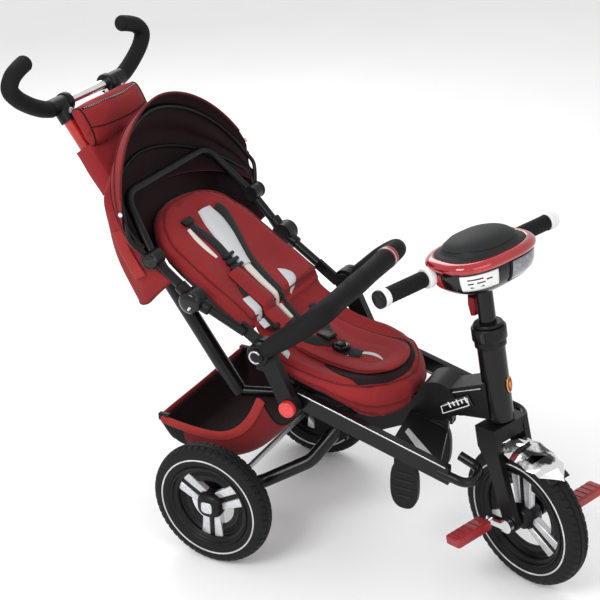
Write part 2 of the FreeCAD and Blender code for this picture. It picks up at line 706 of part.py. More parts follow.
def backrest_frame():
    """The bent tube round the back of the seat, its ears, knuckles and canopy hubs."""
    half = [(50, 160, -9), (162, 174, -20), (266, 184, -6), (392, 146, 30)]
    points = [backrest_point(*p) for p in half]
    points += [V(p.x, -p.y, p.z) for p in reversed(points)]
    shape = swept(rounded_path(points, 40), 9)
    knuckle = backrest_point(162, 0, -20)
    ear = on_backrest(block((10, 66), (152, 160), (-18, 4))).fuse(
        y_disc(PIVOT_X, PIVOT_Z, 152, 160, 18)).removeSplitter()
    ear = ear.cut(y_disc(PIVOT_X, PIVOT_Z, 151, 161, PIN_RADIUS + RUN_CLEARANCE))
    knob = y_disc(knuckle.x, knuckle.z, 163, 191, 22)
    hub = y_disc(CANOPY_HUB[0], CANOPY_HUB[1], 172, 204, 16)
    shape = shape.fuse([*both_sides(ear), *both_sides(knob), *both_sides(hub)])
    save("backrest_frame", shape.removeSplitter())


def hood_section(degrees, half_width, height, wall):
    """One closed horseshoe outline in a plane through the canopy's cross axis."""
    turn = math.radians(degrees)
    foot = V(CANOPY_HUB[0] + HOOD_FOOT[0], 0, CANOPY_HUB[1] + HOOD_FOOT[1])
    up = V(math.cos(turn), 0, math.sin(turn))

    def arch(half, tall):
        angles = [math.pi * i / 12 for i in range(13)]
        flat = [super_point(half, tall, HOOD_POWER, a) for a in angles]
        curve = Part.BSplineCurve()
        curve.interpolate([foot + up * h + V(0, y, 0) for y, h in flat])
        return curve

    outer = arch(half_width, height)
    inner = arch(half_width - wall, height - wall)
    ends = [Part.LineSegment(outer.EndPoint, inner.EndPoint),
            Part.LineSegment(inner.StartPoint, outer.StartPoint)]
    inner.reverse()
    return Part.Wire([outer.toShape(), ends[0].toShape(), inner.toShape(), ends[1].toShape()])


def hood(sections, wall=CANOPY_WALL):
    return lofted([hood_section(*s, wall) for s in sections])


def canopy():
    save("canopy_visor", hood([(110.7, 241, 238), (115, 240, 233)], 6))
    save("canopy_cover", hood([(115.4, 235, 228), (122, 230, 222), (129.6, 225, 216)]))
    roof = hood([(130, 224, 216), (140, 214, 188), (150, 204, 152), (160, 194, 114)])
    wing = xz_prism([(-285, 630), (-338, 649), (-350, 600), (-314, 500), (-291, 560)], 193, 197)
    save("canopy_rear_hood", roof, wing, mirrored(wing))


# ---------------------------------------------------------------- basket

def basket():
    """The fabric tub between the rear wheels, with the ears that hang it at the front."""
    outer = xz_prism([(-290, 247), (-268, 172), (-100, 184), (-20, 262), (-20, 281), (-123, 247)],
                     -BASKET_HALF, BASKET_HALF)
    inner = xz_prism([(-286, 300), (-286, 247), (-265, 176), (-101, 188), (-24, 264), (-24, 300)],
                     -BASKET_HALF + 4, BASKET_HALF - 4)
    ear = xz_prism([(-118, 245), (-21, 277), (-40, 350), (-66, 372)], BASKET_HALF - 4, BASKET_HALF)
    tub = outer.cut(inner).fuse([ear, mirrored(ear)]).removeSplitter()
    save("storage_basket", tub)
    level = 247 + 3.2
    side = BASKET_HALF - 3
    wire = bent_bar([(-135, side, level), (-286, side, level), (-286, -side, level),
                     (-135, -side, level)], 18, 3)
    save("basket_rim_wire", wire)


# ---------------------------------------------------------------- push handle

def handle_sockets():
    """The two lower tubes that hold the handle, each with a bar to the column."""
    pieces = []
    low = HANDLE_LENGTH + 100
    for sign in SIDES.values():
        outer = rod(handle_point(low, sign * HANDLE_Y), handle_point(400, sign * HANDLE_Y),
                    SOCKET_RADIUS)
        bar = rod(V(-146, sign * HANDLE_Y, 306), V(COLUMN_X[0] + 20, sign * 30, 306), 10)
        bore = rod(handle_point(low - 12, sign * HANDLE_Y), handle_point(390, sign * HANDLE_Y),
                   HANDLE_TUBE_RADIUS + RUN_CLEARANCE)
        pieces.append(outer.fuse(bar.cut(column())).removeSplitter().cut(bore))
    save("handle_sockets", *[max(p.Solids, key=lambda s: s.Volume) for p in pieces])


def push_handle():
    tubes = [rod(handle_point(12.5, y, 0), handle_point(HANDLE_LENGTH, y, 0), HANDLE_TUBE_RADIUS)
             for y in (HANDLE_Y, -HANDLE_Y)]
    save("handle_tubes", *tubes)
    top_x, top_z = HANDLE_TOP
    cross = y_disc(top_x, top_z, -117, 117, HANDLEBAR_RADIUS)
    hangers = [rod(handle_point(4, y), handle_point(56, y), 4) for y in (58, -58)]
    save("handle_cross_tube", cross.fuse(hangers).removeSplitter())
    clamps = []
    for sign in SIDES.values():
        y = sorted((sign * 69, sign * 118))
        sleeve = y_disc(top_x, top_z, y[0], y[1], 17)
        stub = rod(handle_point(0, sign * HANDLE_Y), handle_point(36, sign * HANDLE_Y), 17.5)
        clamp = sleeve.fuse(stub).cut(cross)
        clamp = clamp.cut(rod(handle_point(12.5, sign * HANDLE_Y),
                              handle_point(60, sign * HANDLE_Y), HANDLE_TUBE_RADIUS))
        clamps.append(clamp.removeSplitter())
    save("handle_clamps", *clamps)
    grip = bent_bar([(top_x, 118.2, top_z), (top_x, 142, top_z), (top_x - 3, 240, top_z + 62),
                     (top_x - 16, 156, top_z + 100)], 20, 16.5)
    save("push_grips", *both_sides(grip))


def parent_bag():
    """The zipped bag on the front of the push tubes."""
    front = SOCKET_RADIUS + 2
    corners = [handle_point(22, 0, front), handle_point(22, 0, front + 30),
               handle_point(64, 0, front + 32), handle_point(104, 0, front + 20),
               handle_point(104, 0, front)]
    save("parent_bag", xz_prism([(c.x, c.z) for c in corners], -102, 102))


if __name__ == "__main__":
    os.makedirs("parts", exist_ok=True)
    rear_wheels()
    rear_axle()
    brakes()
    rear_bow()
    seat_support()
    save("main_beam", beam())
    footrest_rails()
    footboard()
    foot_plates()
    head_tube()
    front_wheel()
    crank_axle()
    pedals()
    fork()
    steering_stem()
    front_fender()
    handlebar()
    console()
    stem_lever()
    seat()
    side_brackets_and_buttons()
    bumper_bar()
    backrest()
    backrest_frame()
    canopy()
    basket()
    handle_sockets()
    push_handle()
    parent_bag()
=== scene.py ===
import json
import math

import bmesh
import bpy
import numpy as np
from mathutils import Matrix, Vector
from mathutils.bvhtree import BVHTree


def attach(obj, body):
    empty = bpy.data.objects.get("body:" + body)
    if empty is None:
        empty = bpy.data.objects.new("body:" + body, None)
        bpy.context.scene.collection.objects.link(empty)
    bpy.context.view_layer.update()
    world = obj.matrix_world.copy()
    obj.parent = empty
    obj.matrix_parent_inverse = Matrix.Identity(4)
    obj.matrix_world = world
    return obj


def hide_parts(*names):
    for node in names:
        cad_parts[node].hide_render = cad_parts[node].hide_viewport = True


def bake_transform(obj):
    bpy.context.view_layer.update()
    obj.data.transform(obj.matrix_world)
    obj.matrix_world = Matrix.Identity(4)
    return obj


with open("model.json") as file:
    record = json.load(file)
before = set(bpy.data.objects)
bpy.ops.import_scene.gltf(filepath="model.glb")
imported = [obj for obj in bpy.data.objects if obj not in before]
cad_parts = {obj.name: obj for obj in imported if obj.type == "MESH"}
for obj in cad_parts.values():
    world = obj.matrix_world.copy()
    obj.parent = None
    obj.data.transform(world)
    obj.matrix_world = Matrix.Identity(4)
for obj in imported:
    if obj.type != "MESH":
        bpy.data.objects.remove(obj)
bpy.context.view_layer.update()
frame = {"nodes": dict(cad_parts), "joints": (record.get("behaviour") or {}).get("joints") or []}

# ---------------------------------------------------------------- places, in millimetres

MM = 0.001
JOINTS = {j["name"]: j for j in frame["joints"]}


def place_of(joint):
    """A joint's place, in millimetres."""
    return np.array(JOINTS[joint]["pos_m"], float) / MM


def axis_of(joint):
    """A joint's direction, of length 1."""
    axis = np.array(JOINTS[joint]["axis"], float)
    return axis / np.linalg.norm(axis)


RECLINE = math.radians(34.5)
SEAT_PIVOT = place_of("backrest_recline")
BACK_UP = np.array([-math.cos(RECLINE), 0, math.sin(RECLINE)])
BACK_OUT = np.array([math.sin(RECLINE), 0, math.cos(RECLINE)])
HUB = place_of("canopy_fold")
HOOD_FOOT = HUB + (-9, 0, 22)
STEER_FOOT = place_of("steer")
STEER_Z = axis_of("steer")
STEER_Y = axis_of("front_wheel_spin")
STEER_X = np.cross(STEER_Y, STEER_Z)
HANDLE_DOWN = axis_of("handle_slide")
HANDLE_OUT = np.array([-HANDLE_DOWN[2], 0, HANDLE_DOWN[0]])
HANDLE_TOP = np.array([-528.0, 0, 842.0])
BAR_BACK, BAR_HEIGHT = -26.0, 510.0
SIDES = {"left": 1, "right": -1}


def on_back(s, y, out):
    """s up the backrest, y across, out from its face."""
    return SEAT_PIVOT + BACK_UP * s + BACK_OUT * out + np.array([0, y, 0])


def on_steering(x, y, z):
    """x forward, y left, z up the steering axis from the wheel."""
    return STEER_FOOT + STEER_X * x + STEER_Y * y + STEER_Z * z


def on_handle(down, y, out):
    """down the push handle from its top, y across, out from its face."""
    return HANDLE_TOP + HANDLE_DOWN * down + HANDLE_OUT * out + np.array([0, y, 0])


# ---------------------------------------------------------------- materials


class Paint:
    """A principled material with its procedural inputs."""

    def __init__(self, name, metallic=0.0, sheen=0.0, coat=0.0, specular=0.5):
        self.material = bpy.data.materials.new(name)
        self.material.use_nodes = True
        self.nodes = self.material.node_tree.nodes
        self.links = self.material.node_tree.links
        self.shader = self.nodes["Principled BSDF"]
        self.set("Metallic", metallic)
        self.set("Sheen Weight", sheen)
        self.set("Sheen Roughness", 0.4)
        self.set("Coat Weight", coat)
        self.set("Coat Roughness", 0.08)
        self.set("Specular IOR Level", specular)
        self.normal = None
        self.coords = self.nodes.new("ShaderNodeTexCoord").outputs["Object"]

    def set(self, socket, value):
        self.shader.inputs[socket].default_value = value

    def mapped(self, scale=(1, 1, 1), turn=(0, 0, 0)):
        node = self.nodes.new("ShaderNodeMapping")
        node.inputs["Scale"].default_value = scale
        node.inputs["Rotation"].default_value = turn
        self.links.new(self.coords, node.inputs["Vector"])
        return node.outputs[0]

    def noise(self, scale, detail=3.0, stretch=(1, 1, 1), distortion=0.0):
        node = self.nodes.new("ShaderNodeTexNoise")
        node.inputs["Scale"].default_value = scale
        node.inputs["Detail"].default_value = detail
        node.inputs["Distortion"].default_value = distortion
        self.links.new(self.mapped(stretch), node.inputs["Vector"])
        return node.outputs["Fac"]

    def wave(self, period, turn, distortion=0.0):
        node = self.nodes.new("ShaderNodeTexWave")
        node.bands_direction = "DIAGONAL"
        node.inputs["Scale"].default_value = 0.314 / period / 1.732
        node.inputs["Distortion"].default_value = distortion
        self.links.new(self.mapped((1, 1, 1), turn), node.inputs["Vector"])
        return node.outputs["Fac"]

    def cells(self, scale):
        node = self.nodes.new("ShaderNodeTexVoronoi")
        node.feature = "F1"
        node.inputs["Scale"].default_value = scale
        self.links.new(self.mapped(), node.inputs["Vector"])
        return node.outputs["Distance"]

    def math(self, operation, a, b):
        node = self.nodes.new("ShaderNodeMath")
        node.operation = operation
        for socket, value in zip(node.inputs, (a, b)):
            if isinstance(value, (int, float)):
                socket.default_value = value
            else:
                self.links.new(value, socket)
        return node.outputs[0]

    def mixed(self, parts):
        """A weighted sum of factors."""
        total = None
        for factor, weight in parts:
            term = self.math("MULTIPLY", factor, weight)
            total = term if total is None else self.math("ADD", total, term)
        return total

    def colour(self, factor, stops):
        ramp = self.nodes.new("ShaderNodeValToRGB")
        elements = ramp.color_ramp.elements
        while len(elements) < len(stops):
            elements.new(0.5)
        for element, (at, rgb) in zip(elements, stops):
            element.position = at
            element.color = (*rgb, 1)
        self.links.new(factor, ramp.inputs[0])
        self.links.new(ramp.outputs[0], self.shader.inputs["Base Color"])

    def rough(self, factor, low, high):
        node = self.nodes.new("ShaderNodeMapRange")
        node.inputs["From Min"].default_value = 0.3
        node.inputs["From Max"].default_value = 0.7
        node.inputs["To Min"].default_value = low
        node.inputs["To Max"].default_value = high
        self.links.new(factor, node.inputs["Value"])
        self.links.new(node.outputs["Result"], self.shader.inputs["Roughness"])

    def bump(self, height, distance, strength=1.0):
        """Distance in millimetres."""
        node = self.nodes.new("ShaderNodeBump")
        node.inputs["Strength"].default_value = strength
        node.inputs["Distance"].default_value = distance * MM
        self.links.new(height, node.inputs["Height"])
        if self.normal is not None:
            self.links.new(self.normal, node.inputs["Normal"])
        self.normal = node.outputs[0]
        self.links.new(self.normal, self.shader.inputs["Normal"])


def tint(rgb, factor):
    """A colour made lighter or darker."""
    return tuple(min(1.0, c * factor) for c in rgb)


def fabric(name, rgb, thread=1.1, contrast=0.3, sheen=0.08, creases=0.5):
    """Woven cloth: crossing threads, soft creases and slight fading."""
    p = Paint(name, sheen=sheen, specular=0.2)
    warp = p.wave(thread * MM, (0.0, 0.0, 0.0), 0.4)
    weft = p.wave(thread * MM, (1.571, 0.0, 0.785), 0.4)
    weave = p.math("MAXIMUM", warp, weft)
    fading = p.noise(9.0, 4.0)
    fibre = p.noise(420.0, 2.0)
    p.colour(p.mixed([(weave, 0.25), (fading, 0.55), (fibre, 0.2)]),
             [(0.28, tint(rgb, 1 - contrast)), (0.5, rgb), (0.75, tint(rgb, 1 + contrast))])
    p.rough(fibre, 0.68, 0.88)
    p.bump(p.noise(22.0, 3.0, distortion=0.8), 2.2 * creases, 0.5)
    p.bump(weave, 0.22, 0.6)
    return p.material


def webbing(name, rgb):
    """Ribbed strap."""
    p = Paint(name, sheen=0.1, specular=0.3)
    ribs = p.wave(1.8 * MM, (0.4, 0.2, 0.785))
    fibre = p.noise(500.0, 2.0)
    p.colour(p.mixed([(ribs, 0.4), (fibre, 0.6)]), [(0.2, tint(rgb, 0.6)), (0.8, tint(rgb, 1.6))])
    p.rough(fibre, 0.6, 0.85)
    p.bump(ribs, 0.3, 0.7)
    return p.material


def plastic(name, rgb, rough=(0.38, 0.55), grain=0.12, coat=0.0, wear=0.35, specular=0.5):
    """Moulded plastic: fine spark grain, faint flow marks and handling scuffs."""
    p = Paint(name, coat=coat, specular=specular)
    grain_map = p.cells(900.0)
    flow = p.noise(14.0, 5.0, (1, 1, 2.4))
    scuffs = p.noise(160.0, 6.0, (1, 6, 1))
    p.colour(p.mixed([(flow, 0.7), (scuffs, 0.3)]),
             [(0.3, tint(rgb, 1 - wear * 0.6)), (0.52, rgb), (0.72, tint(rgb, 1 + wear))])
    p.rough(p.mixed([(flow, 0.5), (scuffs, 0.5)]), *rough)
    p.bump(grain_map, grain, 0.5)
    return p.material


def painted(name, rgb, rough=(0.25, 0.4), metallic=0.0, coat=0.3, flake=0.0, specular=0.5):
    """Powder coat or gloss paint over metal, with orange peel."""
    p = Paint(name, metallic=metallic, coat=coat, specular=specular)
    peel = p.noise(240.0, 2.0)
    cloud = p.noise(11.0, 4.0)
    p.colour(p.mixed([(cloud, 0.6), (peel, 0.4)]),
             [(0.3, tint(rgb, 0.75)), (0.5, rgb), (0.7, tint(rgb, 1.25 + flake))])
    p.rough(cloud, *rough)
    p.bump(peel, 0.08, 0.4)
    return p.material


def metal(name, rgb, rough=(0.08, 0.2), dark=0.86, stops=(0.3, 0.7), scale=26.0):
    """Polished metal with smudges and fine drawing lines; with a dark value near zero and close stops, as
    on the fender's chrome, the smudge noise paints reflections as sharp black and white patches.
    """
    p = Paint(name, metallic=1.0)
    smudge_and_reflection = p.noise(scale, 4.0)
    lines = p.noise(300.0, 2.0, (1, 14, 1))
    p.colour(smudge_and_reflection, [(stops[0], tint(rgb, dark)), (stops[1], tint(rgb, 1.05))])
    p.rough(p.mixed([(smudge_and_reflection, 0.7), (lines, 0.3)]), *rough)
    p.bump(lines, 0.02, 0.3)
    return p.material


def foam(name, rgb):
    """Foam rubber with pores and dents."""
    p = Paint(name, specular=0.15)
    pores = p.cells(650.0)
    dents = p.noise(35.0, 3.0)
    p.colour(p.mixed([(pores, 0.4), (dents, 0.6)]), [(0.2, tint(rgb, 0.7)), (0.7, tint(rgb, 1.5))])
    p.rough(dents, 0.62, 0.8)
    p.bump(pores, 0.25, 0.6)
    p.bump(dents, 0.8, 0.35)
    return p.material


def rubber(name, rgb):
    """Tyre rubber with patches of dust."""
    p = Paint(name, specular=0.18)
    dust = p.noise(30.0, 6.0)
    fine = p.noise(380.0, 3.0)
    p.colour(p.mixed([(dust, 0.7), (fine, 0.3)]),
             [(0.3, tint(rgb, 0.7)), (0.55, rgb), (0.75, tint(rgb, 1.9))])
    p.rough(dust, 0.5, 0.72)
    p.bump(fine, 0.15, 0.6)
    return p.material


def lens(name, rgb):
    """A smoky faceted lamp glass."""
    p = Paint(name, coat=0.8)
    facets = p.cells(160.0)
    cloud = p.noise(20.0, 3.0)
    p.colour(p.mixed([(facets, 0.5), (cloud, 0.5)]), [(0.2, tint(rgb, 0.5)), (0.7, tint(rgb, 1.3))])
    p.rough(cloud, 0.08, 0.2)
    p.bump(facets, 0.6, 0.5)
    return p.material


RED = (0.225, 0.0155, 0.0172)
M = {
    "red": fabric("fabric_red", RED),
    "red_deep": fabric("fabric_red_deep", tint(RED, 0.6)),
    "red_hem": fabric("fabric_red_hem", (0.27, 0.022, 0.02), creases=0.8),
    "lining": fabric("fabric_lining", (0.0115, 0.0038, 0.0045), contrast=0.5, sheen=0.0),
    "piping": fabric("fabric_piping", tint(RED, 0.55), thread=0.7, creases=0.1),
    "black_cloth": fabric("fabric_black", (0.007, 0.007, 0.0075), contrast=0.4, sheen=0.02),
    "grey": fabric("fabric_grey_pad", (0.52, 0.53, 0.55), thread=1.6, contrast=0.12, sheen=0.1),
    "cream": fabric("fabric_cream", (0.62, 0.58, 0.52), thread=1.2, contrast=0.1, sheen=0.1),
    "webbing": webbing("webbing_black", (0.007, 0.007, 0.008)),
    "plastic": plastic("plastic_black", (0.0045, 0.0045, 0.005), rough=(0.3, 0.46), specular=0.22),
    "plastic_soft": plastic("plastic_soft_black", (0.011, 0.012, 0.013), rough=(0.5, 0.66), grain=0.2,
                            specular=0.3),
    "plastic_gloss": plastic("plastic_gloss_black", (0.004, 0.004, 0.0045), rough=(0.1, 0.22),
                             grain=0.02, coat=0.1, specular=0.35),
    "red_plastic": plastic("plastic_red", (0.27, 0.01, 0.014), rough=(0.3, 0.45), coat=0.1),
    "red_button": plastic("plastic_red_button", (0.62, 0.03, 0.03), rough=(0.22, 0.35), coat=0.4),
    "red_gloss": painted("gloss_red", (0.36, 0.004, 0.01), rough=(0.08, 0.16), metallic=0.25,
                         coat=1.0, flake=0.3),
    "red_tube": painted("paint_red", (0.42, 0.014, 0.012), rough=(0.2, 0.32), coat=0.5),
    "frame_black": painted("powder_black", (0.0045, 0.0045, 0.005), rough=(0.16, 0.28), coat=0.0,
                           specular=0.28),
    "chrome": metal("chrome", (0.86, 0.87, 0.88)),
    # The fender's chrome: smudge noise taken almost to black, painted reflections in black and white
    # patches.
    "chrome_dark": metal("chrome_facets_painted_reflections", (0.8, 0.81, 0.82), rough=(0.05, 0.14), dark=0.05,
                         stops=(0.44, 0.5), scale=17.0),
    "steel": metal("axle_steel", (0.5, 0.5, 0.52), rough=(0.25, 0.4)),
    "silver": painted("silver_paint", (0.6, 0.61, 0.63), rough=(0.22, 0.36), metallic=0.55),
    "white": plastic("white_moulding", (0.74, 0.74, 0.73), rough=(0.3, 0.42), wear=0.08),
    "foam": foam("foam_black", (0.0065, 0.0065, 0.007)),
    "tyre": rubber("tyre_rubber", (0.0075, 0.0078, 0.0085)),
    "tyre_ring": rubber("tyre_pale_ring", (0.58, 0.58, 0.57)),
    "lens": lens("lamp_lens", (0.2, 0.21, 0.23)),
    "amber": painted("badge_amber", (0.75, 0.28, 0.05), rough=(0.2, 0.3), metallic=0.6),
}

# ---------------------------------------------------------------- mesh helpers


def faces_of(nu, nv, wrap_u=False, wrap_v=False):
    """The quads of a grid of points."""
    faces = []
    for i in range(nu if wrap_u else nu - 1):
        for j in range(nv if wrap_v else nv - 1):
            a, b = i * nv + j, i * nv + (j + 1) % nv
            c, d = ((i + 1) % nu) * nv + (j + 1) % nv, ((i + 1) % nu) * nv + j
            faces.append((a, b, c, d))
    return faces


def outward(mesh, weld=1e-6):
    """Welds a mesh and turns its faces outwards."""
    bm = bmesh.new()
    bm.from_mesh(mesh)
    bmesh.ops.remove_doubles(bm, verts=bm.verts, dist=weld)
    bmesh.ops.recalc_face_normals(bm, faces=bm.faces)
    bm.to_mesh(mesh)
    bm.free()


def make(name, verts, faces, material, body=None, slot=None, sharp=None, closed=True):
    """A mesh piece from points in millimetres, in one paint or a list of them by name."""
    paints = material if isinstance(material, list) else [material]
    mesh = bpy.data.meshes.new(name)
    mesh.from_pydata([tuple(float(c) * MM for c in v) for v in verts], [], faces)
    mesh.validate()
    if closed:
        outward(mesh)
    mesh.shade_smooth()
    if sharp is not None:
        mesh.set_sharp_from_angle(angle=math.radians(sharp))
    obj = bpy.data.objects.new(name, mesh)
    bpy.context.collection.objects.link(obj)
    for paint in paints:
        mesh.materials.append(M[paint])
    if body:
        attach(obj, body)
    return obj


def loft(name, rings, material, body=None, caps=True, **kw):
    """A skin over closed rings of equal length, closed at both ends."""
    pts = np.array(rings, float)
    nu, nv = pts.shape[:2]
    faces = faces_of(nu, nv, wrap_v=True)
    if caps:
        faces.append(tuple(range(nv)))
        faces.append(tuple(range((nu - 1) * nv, nu * nv)))
    return make(name, pts.reshape(-1, 3), faces, material, body, **kw)


def sheet(name, pts, material, body=None, wrap_u=False, wrap_v=False, **kw):
    """An open skin over a grid of points."""
    pts = np.array(pts, float)
    nu, nv = pts.shape[:2]
    return make(name, pts.reshape(-1, 3), faces_of(nu, nv, wrap_u, wrap_v), material, body,
                closed=False, **kw)


def smooth_path(control, count, closed=False):
    """Points on a Catmull-Rom curve through the control points."""
    p = np.array(control, float)
    n = len(p)
    spans = n if closed else n - 1
    out = []
    for k in range(count):
        t = k / (count if closed else count - 1) * spans
        i = min(int(t), spans - 1)
        f = t - i
        get = (lambda q: p[q % n]) if closed else (lambda q: p[min(max(q, 0), n - 1)])
        a, b, c, d = get(i - 1), get(i), get(i + 1), get(i + 2)
        out.append(0.5 * (2 * b + (c - a) * f + (2 * a - 5 * b + 4 * c - d) * f ** 2
                          + (3 * b - a - 3 * c + d) * f ** 3))
    return np.array(out)


def sweep(name, path, section, material, body=None, scales=None, up=(0, 0, 1), closed=False,
          round_ends=0, **kw):
    """A section, (side, up) pairs in millimetres, carried along a path."""
    path = np.array(path, float)
    n = len(path)
    scales = [1.0] * n if scales is None else list(scales)
    if closed:
        tangents = np.roll(path, -1, 0) - np.roll(path, 1, 0)
    else:
        tangents = np.gradient(path, axis=0)
    tangents /= np.linalg.norm(tangents, axis=1)[:, None]
    reference = np.array(up, float)
    rings = []
    for point, tangent, scale in zip(path, tangents, scales):
        side = np.cross(tangent, reference)
        side /= np.linalg.norm(side)
        top = np.cross(side, tangent)
        reference = top if not closed else reference
        rings.append([point + side * (a * scale) + top * (b * scale) for a, b in section])
    if round_ends:
        first, last = rings[0], rings[-1]
        reach = round_ends

        def cap(ring, point, direction):
            ring = np.array(ring)
            made = []
            for k in (1, 2, 3):
                turn = k * math.pi / 6.5
                made.append(point + direction * reach * math.sin(turn)
                            + (ring - point) * math.cos(turn))
            return made

        rings = (cap(first, path[0], -tangents[0])[::-1] + rings + cap(last, path[-1], tangents[-1]))
    pts = np.array(rings)
    if closed:
        return make(name, pts.reshape(-1, 3), faces_of(len(pts), len(section), True, True),
                    material, body, **kw)
    return loft(name, pts, material, body, **kw)


def circle(radius, count=16):
    """A round section."""
    return [(radius * math.cos(2 * math.pi * k / count), radius * math.sin(2 * math.pi * k / count))
            for k in range(count)]


def oval(a, b, count=20, power=2.0):
    """An oval section, squarer as its power grows."""
    out = []
    for k in range(count):
        t = 2 * math.pi * k / count
        c, s = math.cos(t), math.sin(t)
        out.append((a * math.copysign(abs(c) ** (2 / power), c),
                    b * math.copysign(abs(s) ** (2 / power), s)))
    return out


def pipe(name, control, radius, material, body=None, count=60, closed=False, sides=12, **kw):
    """A round cord along a smooth path."""
    return sweep(name, smooth_path(control, count, closed), circle(radius, sides), material, body,
                 closed=closed, **kw)


def frame_axes(axis):
    """Two directions square to an axis, and the axis."""
    axis = np.array(axis, float) / np.linalg.norm(axis)
    helper = np.array([0, 0, 1.0])
    if abs(np.dot(helper, axis)) > 0.95:
        helper = np.array([1.0, 0, 0])
    x = helper - axis * np.dot(helper, axis)
    x /= np.linalg.norm(x)
    return x, np.cross(axis, x), axis


def turned(name, outline, centre, axis, material, body=None, segments=64, closed=False,
           squareness=2.0, **kw):
    """A turned shape from (radius, height) pairs; squareness above 2 makes it a rounded square."""
    x, y, z = frame_axes(axis)
    centre = np.array(centre, float)
    rings = []
    for radius, height in outline:
        ring = oval(max(radius, 0.01), max(radius, 0.01), segments, squareness)
        rings.append([centre + x * a + y * b + z * height for a, b in ring])
    if closed:
        pts = np.array(rings)
        return make(name, pts.reshape(-1, 3), faces_of(len(outline), segments, True, True),
                    material, body, **kw)
    return loft(name, rings, material, body, **kw)


def block(name, centre, size, axes, radius, material, body=None, taper=1.0, **kw):
    """A rounded block with its own axes; taper narrows its second side towards -x."""
    bm = bmesh.new()
    bmesh.ops.create_cube(bm, size=1.0)
    for v in bm.verts:
        v.co = Vector([v.co[k] * size[k] for k in range(3)])
        if v.co.x < 0:
            v.co.y *= taper
    bmesh.ops.bevel(bm, geom=bm.edges[:], offset=radius, segments=3, affect="EDGES", profile=0.5)
    ax = [np.array(a, float) for a in axes]
    verts = [np.array(centre, float) + ax[0] * v.co.x + ax[1] * v.co.y + ax[2] * v.co.z
             for v in bm.verts]
    bm.verts.index_update()
    faces = [tuple(v.index for v in f.verts) for f in bm.faces]
    bm.free()
    return make(name, verts, faces, material, body, sharp=40, **kw)


WORLD = ((1, 0, 0), (0, 1, 0), (0, 0, 1))


def bake(obj):
    """Applies the modifiers."""
    graph = bpy.context.evaluated_depsgraph_get()
    mesh = bpy.data.meshes.new_from_object(obj.evaluated_get(graph))
    obj.modifiers.clear()
    obj.data = mesh
    mesh.shade_smooth()
    return obj


def subdivided(obj, levels=1):
    """Smooths a mesh and keeps the result."""
    modifier = obj.modifiers.new("smooth", "SUBSURF")
    modifier.levels = modifier.render_levels = levels
    return bake(obj)


def thick(obj, thickness):
    """Gives a sheet its thickness, half on each side."""
    modifier = obj.modifiers.new("thick", "SOLIDIFY")
    modifier.thickness = thickness * MM
    modifier.offset = 0.0
    modifier.use_even_offset = False
    return bake(obj)


def coords(obj):
    """The mesh's points, in metres."""
    out = np.empty(len(obj.data.vertices) * 3)
    obj.data.vertices.foreach_get("co", out)
    return out.reshape(-1, 3)


def inflated(obj, cap, pressure=4.0):
    """Puffs a closed pad up as sewn cloth and keeps the result."""
    voxel, steps = 5.0, 20
    modifier = obj.modifiers.new("voxels", "REMESH")
    modifier.mode = "VOXEL"
    modifier.voxel_size = voxel * MM
    bake(obj)
    start = coords(obj)
    cloth = obj.modifiers.new("cloth", "CLOTH")
    cloth.settings.quality = 5
    cloth.settings.mass = 0.25
    cloth.settings.tension_stiffness = 18
    cloth.settings.bending_stiffness = 0.6
    cloth.settings.use_pressure = True
    cloth.settings.uniform_pressure_force = pressure
    cloth.settings.effector_weights.gravity = 0
    cloth.point_cache.frame_start = 1
    cloth.point_cache.frame_end = steps
    for step in range(1, steps + 1):
        bpy.context.scene.frame_set(step)
    graph = bpy.context.evaluated_depsgraph_get()
    puffed = obj.evaluated_get(graph).to_mesh()
    end = np.empty(len(puffed.vertices) * 3)
    puffed.vertices.foreach_get("co", end)
    move = end.reshape(-1, 3) - start
    length = np.linalg.norm(move, axis=1)[:, None]
    move *= np.minimum(1.0, cap * MM / np.maximum(length, 1e-9))
    obj.modifiers.clear()
    obj.data.vertices.foreach_set("co", (start + move).ravel())
    obj.data.update()
    bpy.context.scene.frame_set(1)
    return subdivided(obj)


def cut(grid):
    """Works out the size of the cloth that a sheet's grid of points needs; the result is not kept."""
    grid = np.array(grid)
    across = max(10.5, np.linalg.norm(np.diff(grid, axis=1), axis=2).sum(1).max())
    along = max(10.5, np.linalg.norm(np.diff(grid, axis=0), axis=2).sum(0).max())
    sides = np.cross(grid[1:, :-1] - grid[:-1, :-1], grid[:-1, 1:] - grid[:-1, :-1])
    area = np.linalg.norm(sides, axis=2).sum()
    area = min(max(area, 0.31 * across * along), across * along)


def cloth(name, grid, material, thickness, body, held, rests_on, **kw):
    """A sheet that rides on one body."""
    piece = sheet(name, grid, material, **kw)
    thick(piece, thickness)
    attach(piece, body)
    cut(grid)
    return piece


def hard_plate(name, grid, material, thickness, body):
    """A thin hard plate that rides on one body."""
    piece = sheet(name, grid, material)
    thick(piece, thickness)
    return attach(piece, body)


class Skin:
    """Finds the surface of a finished piece along a direction."""

    def __init__(self, obj):
        self.tree = BVHTree.FromPolygons([v.co.copy() for v in obj.data.vertices],
                                         [tuple(p.vertices) for p in obj.data.polygons])

    def hit(self, origin, direction, fallback):
        point, _, _, _ = self.tree.ray_cast(Vector([c * MM for c in origin]), Vector(direction))
        return fallback if point is None else np.array(point) / MM

    def near(self, origin):
        point, _, _, _ = self.tree.find_nearest(Vector([c * MM for c in origin]))
        return np.array(point) / MM


STRAP_STEPS, STRAP_RIBS = 40, 7


def puffed(name, rings, cap, body, node, fill, **kw):
    """A red sewn pad that stands for a node, and its finished surface."""
    pad = loft(name, rings, "red")
    inflated(pad, cap, **kw)
    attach(pad, body)
    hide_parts(node)
    return Skin(pad)


